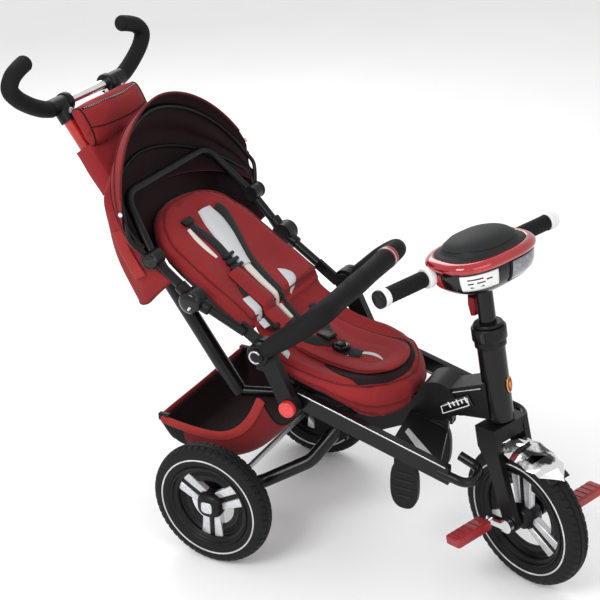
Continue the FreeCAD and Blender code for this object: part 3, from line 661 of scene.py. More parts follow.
def laid_strap(name, centres, widths, lift, height, surface, material, body):
    """A strap lying on a surface: surface(a, b) gives a point and its outward direction."""
    line = smooth_path([(a, b, w) for (a, b), w in zip(centres, widths)], STRAP_STEPS)
    run = np.gradient(line[:, :2], axis=0)
    run /= np.linalg.norm(run, axis=1)[:, None]
    top, low = [], []
    for (a, b, width), (da, db) in zip(line, run):
        rows = ([], [])
        for k in range(STRAP_RIBS):
            across = (k / (STRAP_RIBS - 1) - 0.5) * 2
            point, out = surface(a - db * across * width / 2, b + da * across * width / 2)
            crown = height * max(0.0, 1 - abs(across) ** 3) ** 0.5
            rows[0].append(point + out * (lift + crown + 0.3))
            rows[1].append(point + out * (lift - 0.6))
        top.append(rows[0])
        low.append(rows[1][::-1])
    rings = np.concatenate([np.array(top), np.array(low)], axis=1)
    return loft(name, rings, material, body, sharp=60)


def assign(nodes, material):
    """Paints named nodes."""
    for name in nodes.split():
        obj = frame["nodes"][name]
        if not obj.material_slots:
            obj.data.materials.append(None)
        for each in obj.material_slots:
            each.material = M[material]


# ---------------------------------------------------------------- wheels

TREAD_BLOCKS = 52
REAR_RADIUS, FRONT_RADIUS = 127.5, 143.0


def tyre_outline(radius, depth=41.8):
    """Half a tyre's section, from bead to crown: (radius, offset)."""
    half = [(-depth, 15.4), (-39, 17.8), (-35, 19.4), (-33.6, 20.6), (-31, 20.2), (-26, 21.6),
            (-20, 21.9), (-16, 21.5), (-13, 21.6), (-10, 20.6), (-7, 19.3), (-5, 17.6), (-3.4, 15),
            (-2.2, 12), (-1.4, 9.6), (-0.9, 7.4), (-0.6, 6.4), (-0.4, 5.2), (-0.2, 4.2), (0, 2), (0, 0)]
    side = [(radius + a, y) for a, y in half]
    return side + [(r, -y) for r, y in side[-2::-1]]


def tread_depth(turn, y, depth_from_crown):
    """How far a groove sinks at an angle and offset."""
    if depth_from_crown > 14:
        return 0.0
    phase = (turn * TREAD_BLOCKS / (2 * math.pi) + 0.6 * abs(y) / 22 + (0.5 if y > 0 else 0)) % 1
    if 4.6 < abs(y) < 7:
        return 2.0
    if abs(y) >= 7 and phase < 0.26:
        return 2.3 * min(1.0, (15 - depth_from_crown) / 6)
    if abs(y) < 4.6 and 0.45 < phase < 0.6:
        return 1.2
    return 0.0


def tyre(name, centre, axis, radius, body, ring_inset, node):
    """A tyre with its tread and a pale ring on each side."""
    x, z, y = frame_axes(axis)
    segments = TREAD_BLOCKS * 6
    outline = tyre_outline(radius)
    pts = []
    for k in range(segments):
        turn = 2 * math.pi * k / segments
        ray = x * math.cos(turn) + z * math.sin(turn)
        pts.append([centre + ray * (r - tread_depth(turn, off, radius - r)) + y * off
                    for r, off in outline])
    pts = np.array(pts)
    obj = make(name, pts.reshape(-1, 3), faces_of(segments, len(outline), True, True), "tyre", body,
               sharp=38)
    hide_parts(node)
    for tag, side in (("a", 1), ("b", -1)):
        band = radius - ring_inset
        turned(name + "_ring_" + tag, [(band - 1.7, side * 21.2), (band - 1.3, side * 22.3),
                                       (band + 1.3, side * 22.3), (band + 1.7, side * 21.2)], centre,
               axis, "tyre_ring", body, 128, True)


def rim(name, centre, axis, radius, body, node):
    """The rim and its ridged dish; gives how far out the blades reach."""
    edge = radius - 40.6
    half = [(edge, 17.2), (edge - 1.2, 19.2), (edge - 3.4, 19.6), (edge - 5, 18), (edge - 5.6, 14.6),
            (edge - 8.5, 12.6), (edge - 11.5, 11.6), (edge - 13.6, 9.2), (edge - 14.2, 6)]
    outline = half + [(r, -y) for r, y in half[::-1]]
    obj = turned(name, outline, centre, axis, "plastic", body, 128, True, sharp=50, slot="rim_black")
    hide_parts(node)
    reach = edge - 14.0
    ridges = [(reach + 1, -5), (reach - 3, -5.5), (reach - 5, -3.5), (reach - 8, -5), (reach - 10, -3),
              (reach - 13, -4.4), (reach - 16, -3), (reach - 20, -3.8), (reach - 24, -1.5)]
    turned(name + "_dish", ridges + [(r, -h) for r, h in ridges[::-1]], centre, axis, "plastic", body,
           96, True, sharp=40, slot="rim_black")
    return reach


def blades(name, centre, axis, reach, body, node, outer, start_deg):
    """Three pairs of bright blades with a dark rib between, a rounded hub and its cap."""
    y = np.array(axis, float)
    for k in range(3):
        turn = math.radians(start_deg + 120 * k)
        ray = np.array([math.cos(turn), 0, math.sin(turn)])
        ray = ray - y * np.dot(ray, y)
        ray /= np.linalg.norm(ray)
        aside = np.cross(y, ray)
        middle = (reach + 20) / 2
        block("%s_rib_%d" % (name, k), centre + ray * middle, (reach - 14, 9, 13),
              (ray, aside, y), 1.6, "plastic", body, slot="rim_black")
        for tag, shift in (("a", 13.5), ("b", -13.5)):
            lean = ray + aside * (0.05 if shift > 0 else -0.05)
            lean /= np.linalg.norm(lean)
            blade = block("%s_blade_%d%s" % (name, k, tag), centre + ray * (middle + 2) + aside * shift,
                          (reach - 18, 20, 15), (lean, np.cross(y, lean), y), 2.4, "silver", body,
                          taper=0.68)
            if k == 0 and shift > 0:
                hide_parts(node)
    hub = [(8, -22.5), (17, -22), (21, -18), (22, -12), (25.5, -8), (27, 0), (26.5, 12), (23, 19),
           (17, 22.5), (6, 23.4)]
    if outer < 0:
        hub = [(r, -h) for r, h in hub]
    turned(name + "_hub", hub, centre, axis, "plastic", body, 48, squareness=2.7,
           slot="rim_black", sharp=50)
    if outer:
        cap = [(11.5, 22.6), (12, 24.4), (10.6, 25.8), (3.4, 26.2), (3, 25.2), (0.5, 25.2)]
        turned(name + "_cap", [(r, outer * h) for r, h in cap], centre, axis, "silver", body, 40,
               squareness=4.0, sharp=40)


def wheels():
    """Two rear wheels and the front wheel, which leans with the steering."""
    for side, sign in SIDES.items():
        body = "rear_wheel_" + side
        centre = place_of(body + "_spin")
        tyre("tread_rear_" + side, centre, (0, 1, 0), REAR_RADIUS, body, 24.5, "rear_tyre_" + side)
        reach = rim("barrel_rear_" + side, centre, (0, 1, 0), REAR_RADIUS, body, "rear_rim_" + side)
        blades("wheel_rear_" + side, centre, (0, 1, 0), reach, body, "rear_spokes_" + side, sign, 30)
    centre = place_of("front_wheel_spin")
    tyre("tread_front", centre, STEER_Y, FRONT_RADIUS, "front_wheel", 27.5, "front_tyre")
    reach = rim("barrel_front", centre, STEER_Y, FRONT_RADIUS, "front_wheel", "front_rim")
    blades("wheel_front", centre, STEER_Y, reach, "front_wheel", "front_spokes", 0, 95)


# ---------------------------------------------------------------- seat and backrest


def pad_plan(half, low, straight, high, count, power):
    """A closed outline: straight sides from low, round end towards high."""
    side = max(3, count // 5)
    points = []
    for k in range(side):
        points.append((low + (straight - low) * k / side, half))
    turns = count // 2
    for k in range(turns + 1):
        t = math.pi / 2 - math.pi * k / turns
        c, s = math.cos(t), math.sin(t)
        points.append((straight + (high - straight) * abs(c) ** (2 / power),
                       half * math.copysign(abs(s) ** (2 / power), s)))
    for k in range(1, side):
        points.append((straight + (low - straight) * k / side, -half))
    for k in range(9):
        points.append((low, -half + 2 * half * k / 8))
    return points[:-1]


def inset_plan(plan, centre, distance, half):
    """Shrinks an outline towards a centre line by about a distance."""
    out = []
    for a, b in plan:
        keep = 1 - distance / half
        out.append((centre + (a - centre) * (1 - distance / 150.0), b * keep))
    return out


def backrest():
    """The back pad with its piping; gives its surface."""
    plan = pad_plan(143, 44, 225, 358, 44, 2.25)
    levels = [(20, -33), (4, -31), (0, -22), (1, -12), (7, -4), (14, -0.5), (20, -1.6), (34, -3),
              (60, -6), (92, -8), (120, -8.5)]
    rings = []
    for inset, out in levels:
        rings.append([on_back(s, y, out) for s, y in inset_plan(plan, 200, inset, 143)])
    skin = puffed("backrest_pad", rings, 6.0, "backrest", "backrest_cushion", 0.55)

    def surface(s, y):
        above = on_back(s, y, 90)
        return skin.hit(above, -BACK_OUT, on_back(s, y, -8)), BACK_OUT

    seam = inset_plan(plan, 200, 14, 143)
    points = [skin.near(on_back(s, y, 2.0)) + BACK_OUT * 0.6 for s, y in seam]
    pipe("backrest_piping", points, 2.1, "piping", "backrest", 200, True, 8)
    low = inset_plan(plan, 200, 1, 143)
    points = [skin.near(on_back(s, y, -28)) for s, y in low]
    pipe("backrest_piping_low", points, 1.8, "piping", "backrest", 200, True, 8)
    return surface


def crescent(name, ends, bulge, surface, body, width=1.0):
    """A reflective patch between a chord and a bulging arc."""
    (a0, b0), (a1, b1) = ends
    rows = []
    for k in range(17):
        t = k / 16
        chord = np.array([a0 + (a1 - a0) * t, b0 + (b1 - b0) * t])
        reach = math.sin(math.pi * t) ** 0.8
        middle = np.array([(a0 + a1) / 2, (b0 + b1) / 2])
        out = (np.array(bulge) - middle) * reach
        row = []
        for m in range(7):
            f = 1 - width + width * m / 6
            point, normal = surface(*(chord + out * f))
            row.append(point + normal * (0.7 + 0.5 * math.sin(math.pi * m / 6)))
        rows.append(row)
    cloth(name, rows, "grey", 0.8, body, "laid", ["backrest_pad" if body == "backrest" else "seat_pad"])


def harness(surface):
    """Straps, pads and slides lying on the back pad."""
    body = "backrest"
    straps = [
        ("pad_grey_upper", [(292, 24), (262, 20), (232, 12), (200, 0), (172, -10), (150, -15)],
         [40, 56, 56, 48, 38, 24], 1.0, 7.0, "grey"),
        ("pad_grey_lower", [(158, -13), (110, -22), (60, -30), (13, -36)], [20, 17, 13, 9], 1.0, 4.0,
         "cream"),
        ("edge_band", [(286, 58), (266, 62), (215, 38), (160, 10), (80, -8), (6, -20)],
         [22, 26, 27, 26, 22, 16], 0.6, 3.0, "webbing"),
        ("near_webbing", [(288, -42), (262, -38), (230, -31), (200, -33), (168, -42), (150, -50)],
         [20, 24, 26, 26, 26, 24], 1.0, 2.4, "webbing"),
        ("near_cream", [(274, -58), (250, -61), (222, -62), (196, -62)], [9, 13, 12, 5], 1.0, 2.6,
         "cream"),
        ("near_grey_low", [(98, -96), (70, -100), (30, -106)], [24, 23, 18], 0.8, 2.6, "grey"),
        ("near_shadow_strap", [(150, -52), (110, -88), (60, -95), (10, -92)], [22, 14, 16, 18], 0.6,
         1.6, "webbing"),
    ]
    for name, centres, widths, lift, height, material in straps:
        piece = laid_strap(name, centres, widths, lift, height, surface, material, body)
        if name == "pad_grey_upper":
            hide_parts("shoulder_pads")
    red_pad = laid_strap("pad_red", [(155, -62), (120, -63), (80, -65), (40, -67), (10, -67)],
                         [40, 43, 43, 42, 40], 4.0, 8.0, surface, "red", body)
    for name, s, y, size in (("slot_buckle", 288, -46, (14, 30, 7)), ("slide_a", 172, -40, (8, 38, 7)),
                             ("slide_b", 158, -44, (7, 40, 8)), ("slide_c", 186, -36, (7, 36, 7)),
                             ("adjuster", 4, -52, (16, 30, 8)), ("adjuster_b", 20, -88, (9, 26, 7))):
        point, out = surface(s, y)
        block(name, point + out * 5.0, size, (BACK_UP, (0, 1, 0), BACK_OUT), 2.0, "plastic", body)
    crescent("reflector_side", ((106, 40), (50, 20)), (76, 60), surface, body)


def back_flap():
    """The cloth that joins the back pad to the seat pad over the hinge."""
    rows = []
    for k in range(11):
        line = smooth_path([on_back(70, 0, -14), on_back(46, 0, -9), (-84, 0, 474), (-77, 0, 462),
                            (-62, 0, 450), (-40, 0, 436)], 11)
        x, _, z = line[k]
        half = 128 - 4 * math.sin(math.pi * k / 10)
        rows.append([(x - 1.5 * math.sin(y * 0.06) * math.sin(math.pi * k / 10), y, z)
                     for y in np.linspace(-half, half, 41)])
    flap = sheet("back_flap", rows, "red")
    thick(flap, 4.0)
    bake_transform(flap)
    cut(rows)


SEAT_TOP = ((-84, 452), (-60, 440), (-30, 424), (0, 413), (40, 405), (90, 400), (140, 397),
            (175, 392), (196, 382), (206, 366))
SEAT_LOW = ((-84, 402), (-30, 393), (20, 381), (60, 372), (100, 352), (130, 332), (160, 322),
            (185, 322), (206, 338))


def level(table, x):
    """The height at x in a table of (x, height)."""
    xs, zs = zip(*table)
    return float(np.interp(x, xs, zs))


def seat():
    """The seat pad with its piping; gives its surface."""
    plan = pad_plan(141, -80, 62, 197, 48, 2.05)
    rings = []
    for inset, share, drop in ((26, 0.0, 2), (8, 0.03, 0), (1, 0.2, 0), (0, 0.5, 0), (2, 0.75, 0),
                               (8, 0.93, 0), (15, 1.0, 0), (24, 1.0, 1), (38, 1.0, 5), (56, 1.0, 9),
                               (84, 1.0, 11), (115, 1.0, 12)):
        ring = []
        for x, y in inset_plan(plan, 40, inset, 141):
            top, low = level(SEAT_TOP, x), level(SEAT_LOW, x)
            sag = 3.0 * math.sin(x * 0.05 + y * 0.03) * (1 if 0.1 < share < 0.9 else 0)
            ring.append((x, y, low + (top - low) * share - drop + sag * 0.5))
        rings.append(ring)
    skin = puffed("seat_pad", rings, 6.0, "frame", "seat_cushion", 0.6)
    up = np.array([0.08, 0, 1.0]) / math.hypot(0.08, 1)

    def surface(x, y):
        return skin.hit((x, y, 560), (0, 0, -1), np.array([x, y, level(SEAT_TOP, x)])), up

    for name, inset, share, radius in (("seat_piping_top", 12, 0.97, 2.3),
                                       ("seat_piping_mid", 0.5, 0.42, 2.0),
                                       ("seat_piping_low", 3, 0.12, 2.0)):
        points = []
        for x, y in inset_plan(plan, 40, inset, 141):
            top, low = level(SEAT_TOP, x), level(SEAT_LOW, x)
            points.append(skin.near((x, y, low + (top - low) * share)))
        pipe(name, points, radius, "piping", "frame", 220, True, 8)
    return surface


def seat_liner(surface):
    """The inner pad on the seat, a dark sheet painted as the shadow in its fold, and its reflective
    patches.
    """
    inner = smooth_path([(38, 74), (92, 76), (132, 66), (156, 38), (164, 0), (156, -38), (132, -66),
                         (92, -76), (38, -74)], 49)
    outer = smooth_path([(36, 78), (92, 86), (136, 80), (166, 48), (176, 0), (171, -50),
                         (141, -102), (98, -108), (36, -82)], 49)
    # seat_fold_shadow: a dark lining sheet laid where the liner's front edge leaves a recess; painted
    # shadow.
    fold = []
    for (x0, y0), (x1, y1) in zip(inner, outer):
        row = []
        for m in range(7):
            point, up = surface(x0 + (x1 - x0) * m / 6, y0 + (y1 - y0) * m / 6)
            row.append(point + up * 1.5)
        fold.append(row)
    cloth("seat_fold_shadow", fold, "lining", 0.8, "frame", "laid", ["seat_pad"])
    plan = pad_plan(77, -66, 96, 167, 36, 2.2)
    rings = []
    for inset, high in ((10, 0.5), (2, 1.0), (0, 4.0), (2, 8.0), (8, 10.5), (20, 11), (36, 9),
                        (52, 7.5), (66, 7)):
        ring = []
        for x, y in inset_plan(plan, 40, inset, 77):
            point, up = surface(x, y)
            lifted = high + max(0.0, (x - 110) / 56) * 5.0
            ring.append(point + up * lifted)
        rings.append(ring)
    pad = loft("seat_liner", rings, "red")
    subdivided(pad)
    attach(pad, "frame")
    skin = Skin(pad)

    def top(x, y):
        base, up = surface(x, y)
        return skin.hit((x, y, 560), (0, 0, -1), base), up

    edge = inset_plan(plan, 40, 3, 77)
    points = [skin.near(surface(x, y)[0] + np.array([0, 0, 8.0])) for x, y in edge if x > -40]
    pipe("seat_liner_piping", points, 1.8, "piping", "frame", 120, False, 8)
    crescent("reflector_seat", ((60, -34), (128, -18)), (98, -4), top, "frame", width=0.45)
    crescent("reflector_seat_back", ((-52, -116), (-20, -122)), (-32, -98), surface, "frame")
    for name, sign in (("near", -1), ("far", 1)):
        laid_strap("lap_strap_" + name, [(-62, sign * 60 - 6), (-20, sign * 34 - 10), (18, -16 + sign * 5)],
                   [22, 22, 20], 0.8, 2.2, top, "webbing", "frame")
    laid_strap("crotch_strap", [(34, -20), (60, -20), (84, -18)], [24, 26, 24], 0.6, 2.0, top,
               "webbing", "frame")
    point, up = top(40, -20)
    turned("buckle_body", [(12, 1), (17, 1.5), (18, 5), (17, 9), (14, 11), (12.5, 10), (1, 10.4)],
           point, up, "plastic_gloss", "frame", 40, sharp=40)
    turned("buckle_button", [(9.5, 9.5), (9.3, 12), (7, 13), (1, 13.2)], point, up, "plastic", "frame",
           32, sharp=40)
    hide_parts("crotch_buckle")
    point, up = top(6, -14)
    block("buckle_tongue", point + up * 5, (34, 26, 9), ((0.97, -0.2, 0), (0.2, 0.97, 0), (0, 0, 1)),
          3.0, "plastic", "frame")


# ---------------------------------------------------------------- canopy

HOOD = ((110.7, 241, 240), (113.5, 241, 237), (117, 239, 232), (121, 237, 227), (125, 231, 219),
        (130, 227, 213), (135, 224, 204), (139, 221, 195), (143, 215, 180), (148, 209, 163),
        (153, 203, 143), (159, 196, 117))
HOOD_POWER = 1.85


def hood_point(degrees, half, height, turn, drop=0.0):
    """A point on the hood's arch in the plane at this angle; turn runs from side to side."""
    lift = math.radians(degrees)
    c, s = math.cos(turn), math.sin(turn)
    y = half * math.copysign(abs(c) ** (2 / HOOD_POWER), c)
    h = height * abs(s) ** (2 / HOOD_POWER) - drop
    return HOOD_FOOT + np.array([math.cos(lift) * h, y, math.sin(lift) * h])


def hood_size(degrees):
    """Half the hood's width and its height at an angle."""
    angles, halves, heights = zip(*HOOD)
    return (float(np.interp(degrees, angles, halves)), float(np.interp(degrees, angles, heights)))


def follow_hood(piece):
    """Bakes a piece's placement into its mesh; the piece rides on no body."""
    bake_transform(piece)


def lined(name, grid, inside, body=None):
    """A cloth sheet and its dark lining, on the side of a point inside."""
    grid = np.array(grid)
    normal = np.cross(np.gradient(grid, axis=0), np.gradient(grid, axis=1))
    normal /= np.maximum(np.linalg.norm(normal, axis=2), 1e-9)[:, :, None]
    middle = grid[grid.shape[0] // 2, grid.shape[1] // 2]
    facing = normal[grid.shape[0] // 2, grid.shape[1] // 2]
    if np.dot(facing, np.array(inside) - middle) < 0:
        normal = -normal
    pieces = []
    for label, shift, material in (("", 0.0, "red"), ("_lining", 2.0, "lining")):
        piece = sheet(name + label, grid + normal * shift, material)
        thick(piece, 1.4)
        if body:
            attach(piece, body)
        else:
            follow_hood(piece)
        cut(grid)
        pieces.append(piece)
    return pieces


def canopy():
    """The hood's cloth, seams, bows and snaps."""
    rows = []
    for k in range(41):
        degrees = 110.7 + (159 - 110.7) * k / 40
        half, height = hood_size(degrees)
        first = math.radians(float(np.interp(degrees, (110.7, 111.6, 114, 119, 124, 132, 145, 159),
                                             (27, 22, 18.5, 16, 13, 8, 4, 3))))
        row = []
        for m in range(61):
            turn = first + (math.pi - 2 * first) * m / 60
            side = abs(math.cos(turn))
            between = math.sin(math.pi * min(1.0, max(0.0, (degrees - 121) / 17))) ** 2
            behind = math.sin(math.pi * min(1.0, max(0.0, (degrees - 139) / 20))) ** 2
            pleat = math.sin(turn * 23 + degrees * 0.21) * side ** 3
            pull = 1 - (0.030 * between + 0.020 * behind + 0.010 * pleat * (between + behind))
            row.append(HOOD_FOOT + (hood_point(degrees, half, height, turn) - HOOD_FOOT) * pull)
        rows.append(row)
    hood, _ = lined("canopy_fabric", rows, HOOD_FOOT + (40, 0, 60))
    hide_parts("canopy_visor", "canopy_cover", "canopy_rear_hood")
    for name, degrees, radius, body, grow in (("canopy_edge", 110.9, 2.2, None, 1.0),
                                              ("canopy_seam", 121.0, 1.3, None, 2.6),
                                              ("canopy_seam_rear", 139.0, 1.2, "backrest", 2.6)):
        half, height = hood_size(degrees)
        first = math.radians(27 if degrees < 112 else (14 if degrees < 125 else 6))
        line = [hood_point(degrees, half + grow, height + grow, first + (math.pi - 2 * first) * m / 40)
                for m in range(41)]
        piece = pipe(name, line, radius, "piping", body, 120, sides=8, up=(1, 0, 0))
        if body is None:
            follow_hood(piece)
    for name, degrees, inset, body in (("canopy_bow", 118.5, 9, None),
                                       ("canopy_rear_bow", 143, 8, "backrest")):
        half, height = hood_size(degrees)
        line = [hood_point(degrees, half - inset, height - inset, math.pi * m / 24) for m in range(1, 24)]
        ends = [HUB + (-4, 200, 4), HUB + (-4, -200, 4)]
        bow = pipe(name, [ends[0]] + line + [ends[1]], 4.2, "plastic", body, 120, sides=10, up=(1, 0, 0))
        if body is None:
            follow_hood(bow)
    for side, sign in SIDES.items():
        tab = hood_point(112.6, 242, 238, math.radians(21 if sign > 0 else 159))
        snap = turned("snap_" + side, [(4.2, 0.5), (4.4, 2.2), (3, 3.4), (0.5, 3.6)],
                      tab + (0, sign * 1.5, 0), (0, sign, 0), "white", segments=24)
        follow_hood(snap)
        strip(side, sign)
    curtain()


CAPE_ANGLE = 138.5
CURTAIN = (
    (3, (-270, 202, 622), (-264, 194, 602), (-252, 186, 582), (-234, 178, 564)),
    (12, (-302, 212, 636), (-298, 206, 610), (-286, 194, 566), (-264, 180, 534)),
    (22, (-324, 208, 656), (-324, 204, 622), (-312, 194, 566), (-290, 180, 508)),
    (32, (-352, 198, 680), (-350, 193, 636), (-336, 187, 576), (-312, 174, 504)),
    (44, (-376, 172, 706), (-370, 168, 660), (-348, 162, 598), (-322, 150, 524)),
    (58, (-398, 114, 722), (-384, 112, 676), (-352, 108, 624), (-322, 104, 575)),
    (74, (-410, 60, 730), (-390, 60, 686), (-352, 60, 634), (-320, 60, 582)),
    (90, (-412, 0, 732), (-392, 0, 690), (-352, 0, 638), (-320, 0, 585)),
)


def curtain():
    """One sheet from the hood's back seam to the hem, with a panel hanging at each side."""
    columns = []
    half, height = hood_size(CAPE_ANGLE)
    for turn, *points in CURTAIN:
        top = hood_point(CAPE_ANGLE, half + 2, height + 2, math.radians(turn))
        columns.append(smooth_path([top] + points, 25))
    mirrored = [column * (1, -1, 1) for column in columns[:-1]]
    columns = columns + mirrored[::-1]
    grid = []
    for k in range(25):
        row = smooth_path([column[k] for column in columns], 97)
        row[:, 1] += 2.2 * np.sin(np.linspace(0, 40, 97) + k * 0.3) * math.sin(math.pi * k / 24)
        grid.append(row)
    lined("hood_curtain", grid, (-200, 0, 700), body="backrest")
    pipe("hood_curtain_hem", grid[-1], 1.8, "piping", "backrest", 160, sides=8)


def strip(side, sign):
    """The strap that ties the hood's side down."""
    line = smooth_path([(-322, sign * 212, 664), (-308, sign * 213, 626), (-284, sign * 204, 574)], 24)
    strap = []
    for point in line:
        strap.append([point + np.array([a * 0.9, sign * (1.6 - abs(a) * 0.08), a * 0.45])
                      for a in (-13, -7, 0, 7, 13)])
    cloth("hood_strip_" + side, strap, "red_hem", 1.6, "backrest", "stretched", ["hood_curtain"])


# ---------------------------------------------------------------- basket

BASKET_RIM = ((-290, 247), (-262, 243), (-220, 239), (-175, 239), (-140, 246), (-108, 266), (-80, 300),
              (-58, 345))
BASKET_LOW = ((-264, 182), (-250, 175), (-215, 173), (-172, 176), (-134, 182), (-92, 205), (-56, 240),
              (-24, 276))


def basket():
    """A sagging tub of cloth hung from its hem."""
    rim_line = smooth_path([(x, 0, z) for x, z in BASKET_RIM], 33)
    low_line = smooth_path([(x, 0, z) for x, z in BASKET_LOW], 33)
    rows = []
    for k, (top, low) in enumerate(zip(rim_line, low_line)):
        row = []
        for m in range(49):
            turn = math.pi * m / 48
            c, s = math.cos(turn), math.sin(turn)
            across = math.copysign(abs(c) ** 0.36, c)
            depth = abs(s) ** 0.36
            half = 164 - 12 * depth
            belly = 3.0 * math.sin(math.pi * depth) * math.sin(k * 0.55 + m * 0.2)
            point = top + (low - top) * depth
            row.append((point[0], across * half + math.copysign(belly, c) * 0.6,
                        point[2] - 5 * depth * math.sin(math.pi * k / 32) * (1 - abs(across) ** 4)))
        rows.append(row)
    rows = np.array(rows)
    rear = []
    for step in range(9):
        f = step / 8
        row = []
        for point in rows[0]:
            depth = (247 - point[2]) / (247 - 182)
            rim_point = np.array([-290, point[1], 247.0])
            row.append(rim_point + (point - rim_point) * f + np.array([-5 * math.sin(math.pi * f), 0, 0]))
        rear.append(row)
    grid = np.concatenate([np.array(rear)[:-1], rows])
    tub = sheet("basket_cloth", grid, ["red_deep", "black_cloth"])
    for polygon in tub.data.polygons:
        if polygon.center.x < -0.235 or polygon.center.x < -0.13 and abs(polygon.center.y) < 0.12:
            polygon.material_index = 1
    outward(tub.data, 2e-4)
    inner = tub.copy()
    inner.data = tub.data.copy()
    inner.name = "basket_lining"
    bpy.context.collection.objects.link(inner)
    inner.data.materials.clear()
    inner.data.materials.append(M["lining"])
    for polygon in inner.data.polygons:
        polygon.material_index = 0
    points = coords(inner)
    points[:, 1] *= 0.972
    points[:, 2] += 0.0028 * np.clip((0.246 - points[:, 2]) / 0.03, 0, 1)
    points[:, 0] += 0.003 * np.clip((-0.262 - points[:, 0]) / 0.02, 0, 1)
    inner.data.vertices.foreach_set("co", points.ravel())
    for piece in (tub, inner):
        thick(piece, 1.4)
        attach(piece, "frame")
        cut(grid)
    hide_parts("storage_basket")
    near = [(x, -164, z) for x, _, z in rim_line[::-1]]
    corner = [(-291, -150, 247), (-292, -80, 246), (-292, 0, 245), (-292, 80, 246), (-291, 150, 247)]
    far = [(x, 164, z) for x, _, z in rim_line]
    path = smooth_path(near[:-1] + corner + far[1:], 150)
    sweep("basket_hem", path, oval(3.6, 9.5, 14), "red_hem", "frame", round_ends=3)
    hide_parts("basket_rim_wire")
    for side, sign in SIDES.items():
        block("basket_corner_" + side, (-283, sign * 160, 250), (26, 12, 17), WORLD, 3.5, "plastic",
              "frame")


# ---------------------------------------------------------------- push handle


def push_handle():
    """Foam grips, clamp collars, and the bag with its zip and apron."""
    for side, sign in SIDES.items():
        line = smooth_path([(-528, 118, 842), (-529, 140, 849), (-531, 172, 865), (-533, 202, 886),
                            (-536, 217, 907), (-539, 205, 925), (-542, 182, 935), (-544, 158, 941)], 70)
        line[:, 1] *= sign
        grip = sweep("push_foam_" + side, line, circle(16.4, 24), "foam", "push_handle", round_ends=9,
                     up=(1, 0, 0))
        if sign > 0:
            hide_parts("push_grips")
        turned("clamp_collar_" + side, [(11.5, 0), (19, 0), (19.6, 2), (19.6, 12), (18, 14), (11.5, 14)],
               (-528, sign * 62, 842), (0, sign, 0), "plastic", "push_handle", 40, closed=True, sharp=40)
        point = on_handle(22, sign * 87, 18)
        turned("clamp_screw_" + side, [(6.5, -2), (6.5, 1.5), (5, 2.6), (3, 2.6), (2.8, 1.2), (0.5, 1.2)],
               point, HANDLE_OUT, "steel", "push_handle", 24, sharp=40)
    bag_section = [(24, 18), (22, 30), (24, 43), (36, 49), (62, 49), (84, 43), (101, 36), (105, 27),
                   (101, 19), (64, 18)]
    section = smooth_path([(a, b, 0) for a, b in bag_section], 48, True)[:, :2]
    centre = np.array([64.0, 30.0])
    rings = []
    for k in range(25):
        t = -1 + 2 * k / 24
        shrink = np.array([1 - abs(t) ** 7 * 0.12, 1 - abs(t) ** 5 * 0.45])
        y = 103 * math.copysign(abs(t) ** 0.9, t)
        sag = 4 * (1 - t * t)
        ring = []
        for down, out in section:
            down, out = centre + (np.array([down, out]) - centre) * shrink
            lump = 1.5 * math.sin(t * 7 + down * 0.06)
            ring.append(on_handle(down + sag * (down / 150), y, out + (lump if out > 10 else 0)))
        rings.append(ring)
    skin = puffed("parent_bag_cloth", rings, 3.5, "push_handle", "parent_bag", 0.3, pressure=3.0)
    for name, t in (("bag_piping_near", -0.93), ("bag_piping_far", 0.93)):
        loop = [skin.near(on_handle(a, 103 * t, b)) for a, b in section]
        pipe(name, loop, 1.7, "lining", "push_handle", 100, True, 8, up=(0, 1, 0))
    zip_line = [skin.near(on_handle(31 + 7 * (1 - (y / 90) ** 2), y, 47)) for y in range(-90, 91, 15)]
    pipe("bag_zip", zip_line, 1.9, "lining", "push_handle", 80, sides=8)
    for k in range(-17, 18):
        point = skin.near(on_handle(31 + 7 * (1 - (k * 5 / 90) ** 2), k * 5.0, 47))
        block("bag_zip_tooth_%d" % (k + 17), point + HANDLE_OUT * 1.5, (2.6, 1.8, 1.6),
              (HANDLE_DOWN, (0, 1, 0), HANDLE_OUT), 0.4, "steel", "push_handle")
    half = [(106, -12), (108, 2), (104, 18), (94, 25), (50, 28)]
    across = smooth_path([(-y, out, 0) for y, out in half] + [(0, 29, 0)]
                         + [(y, out, 0) for y, out in half[::-1]], 61)
    apron = []
    for k in range(25):
        lift = 3 * math.sin(k / 8) - 6 * k / 24
        apron.append([on_handle(96 + 96 * k / 24, y, out + lift * max(0.0, out / 29)
                                + 0.8 * math.sin(y * 0.11 + k * 0.3)) for y, out, _ in across])
    cloth("bag_apron", apron, "red", 2.4, "push_handle", "hung", ["handle_tubes"])
    flap = [skin.near(on_handle(72 + 10 * (1 - (y / 100) ** 2), y, 52)) for y in range(-96, 97, 16)]
    pipe("bag_pocket_seam", flap, 1.3, "lining", "push_handle", 80, sides=8)


# ---------------------------------------------------------------- console and steering


CONSOLE_SHIFT = 6.0


def console_shell(name, table, material, **kw):
    """A shell of rounded rings from rows of (half length, half width, height, power)."""
    rings = []
    for half_x, half_y, height, *power in table:
        ring = oval(half_x, half_y, 72, *(power or [2.7]))
        rings.append([on_steering(CONSOLE_SHIFT + a, b, BAR_HEIGHT + height) for a, b in ring])
    return loft(name, rings, material, "steering", **kw)


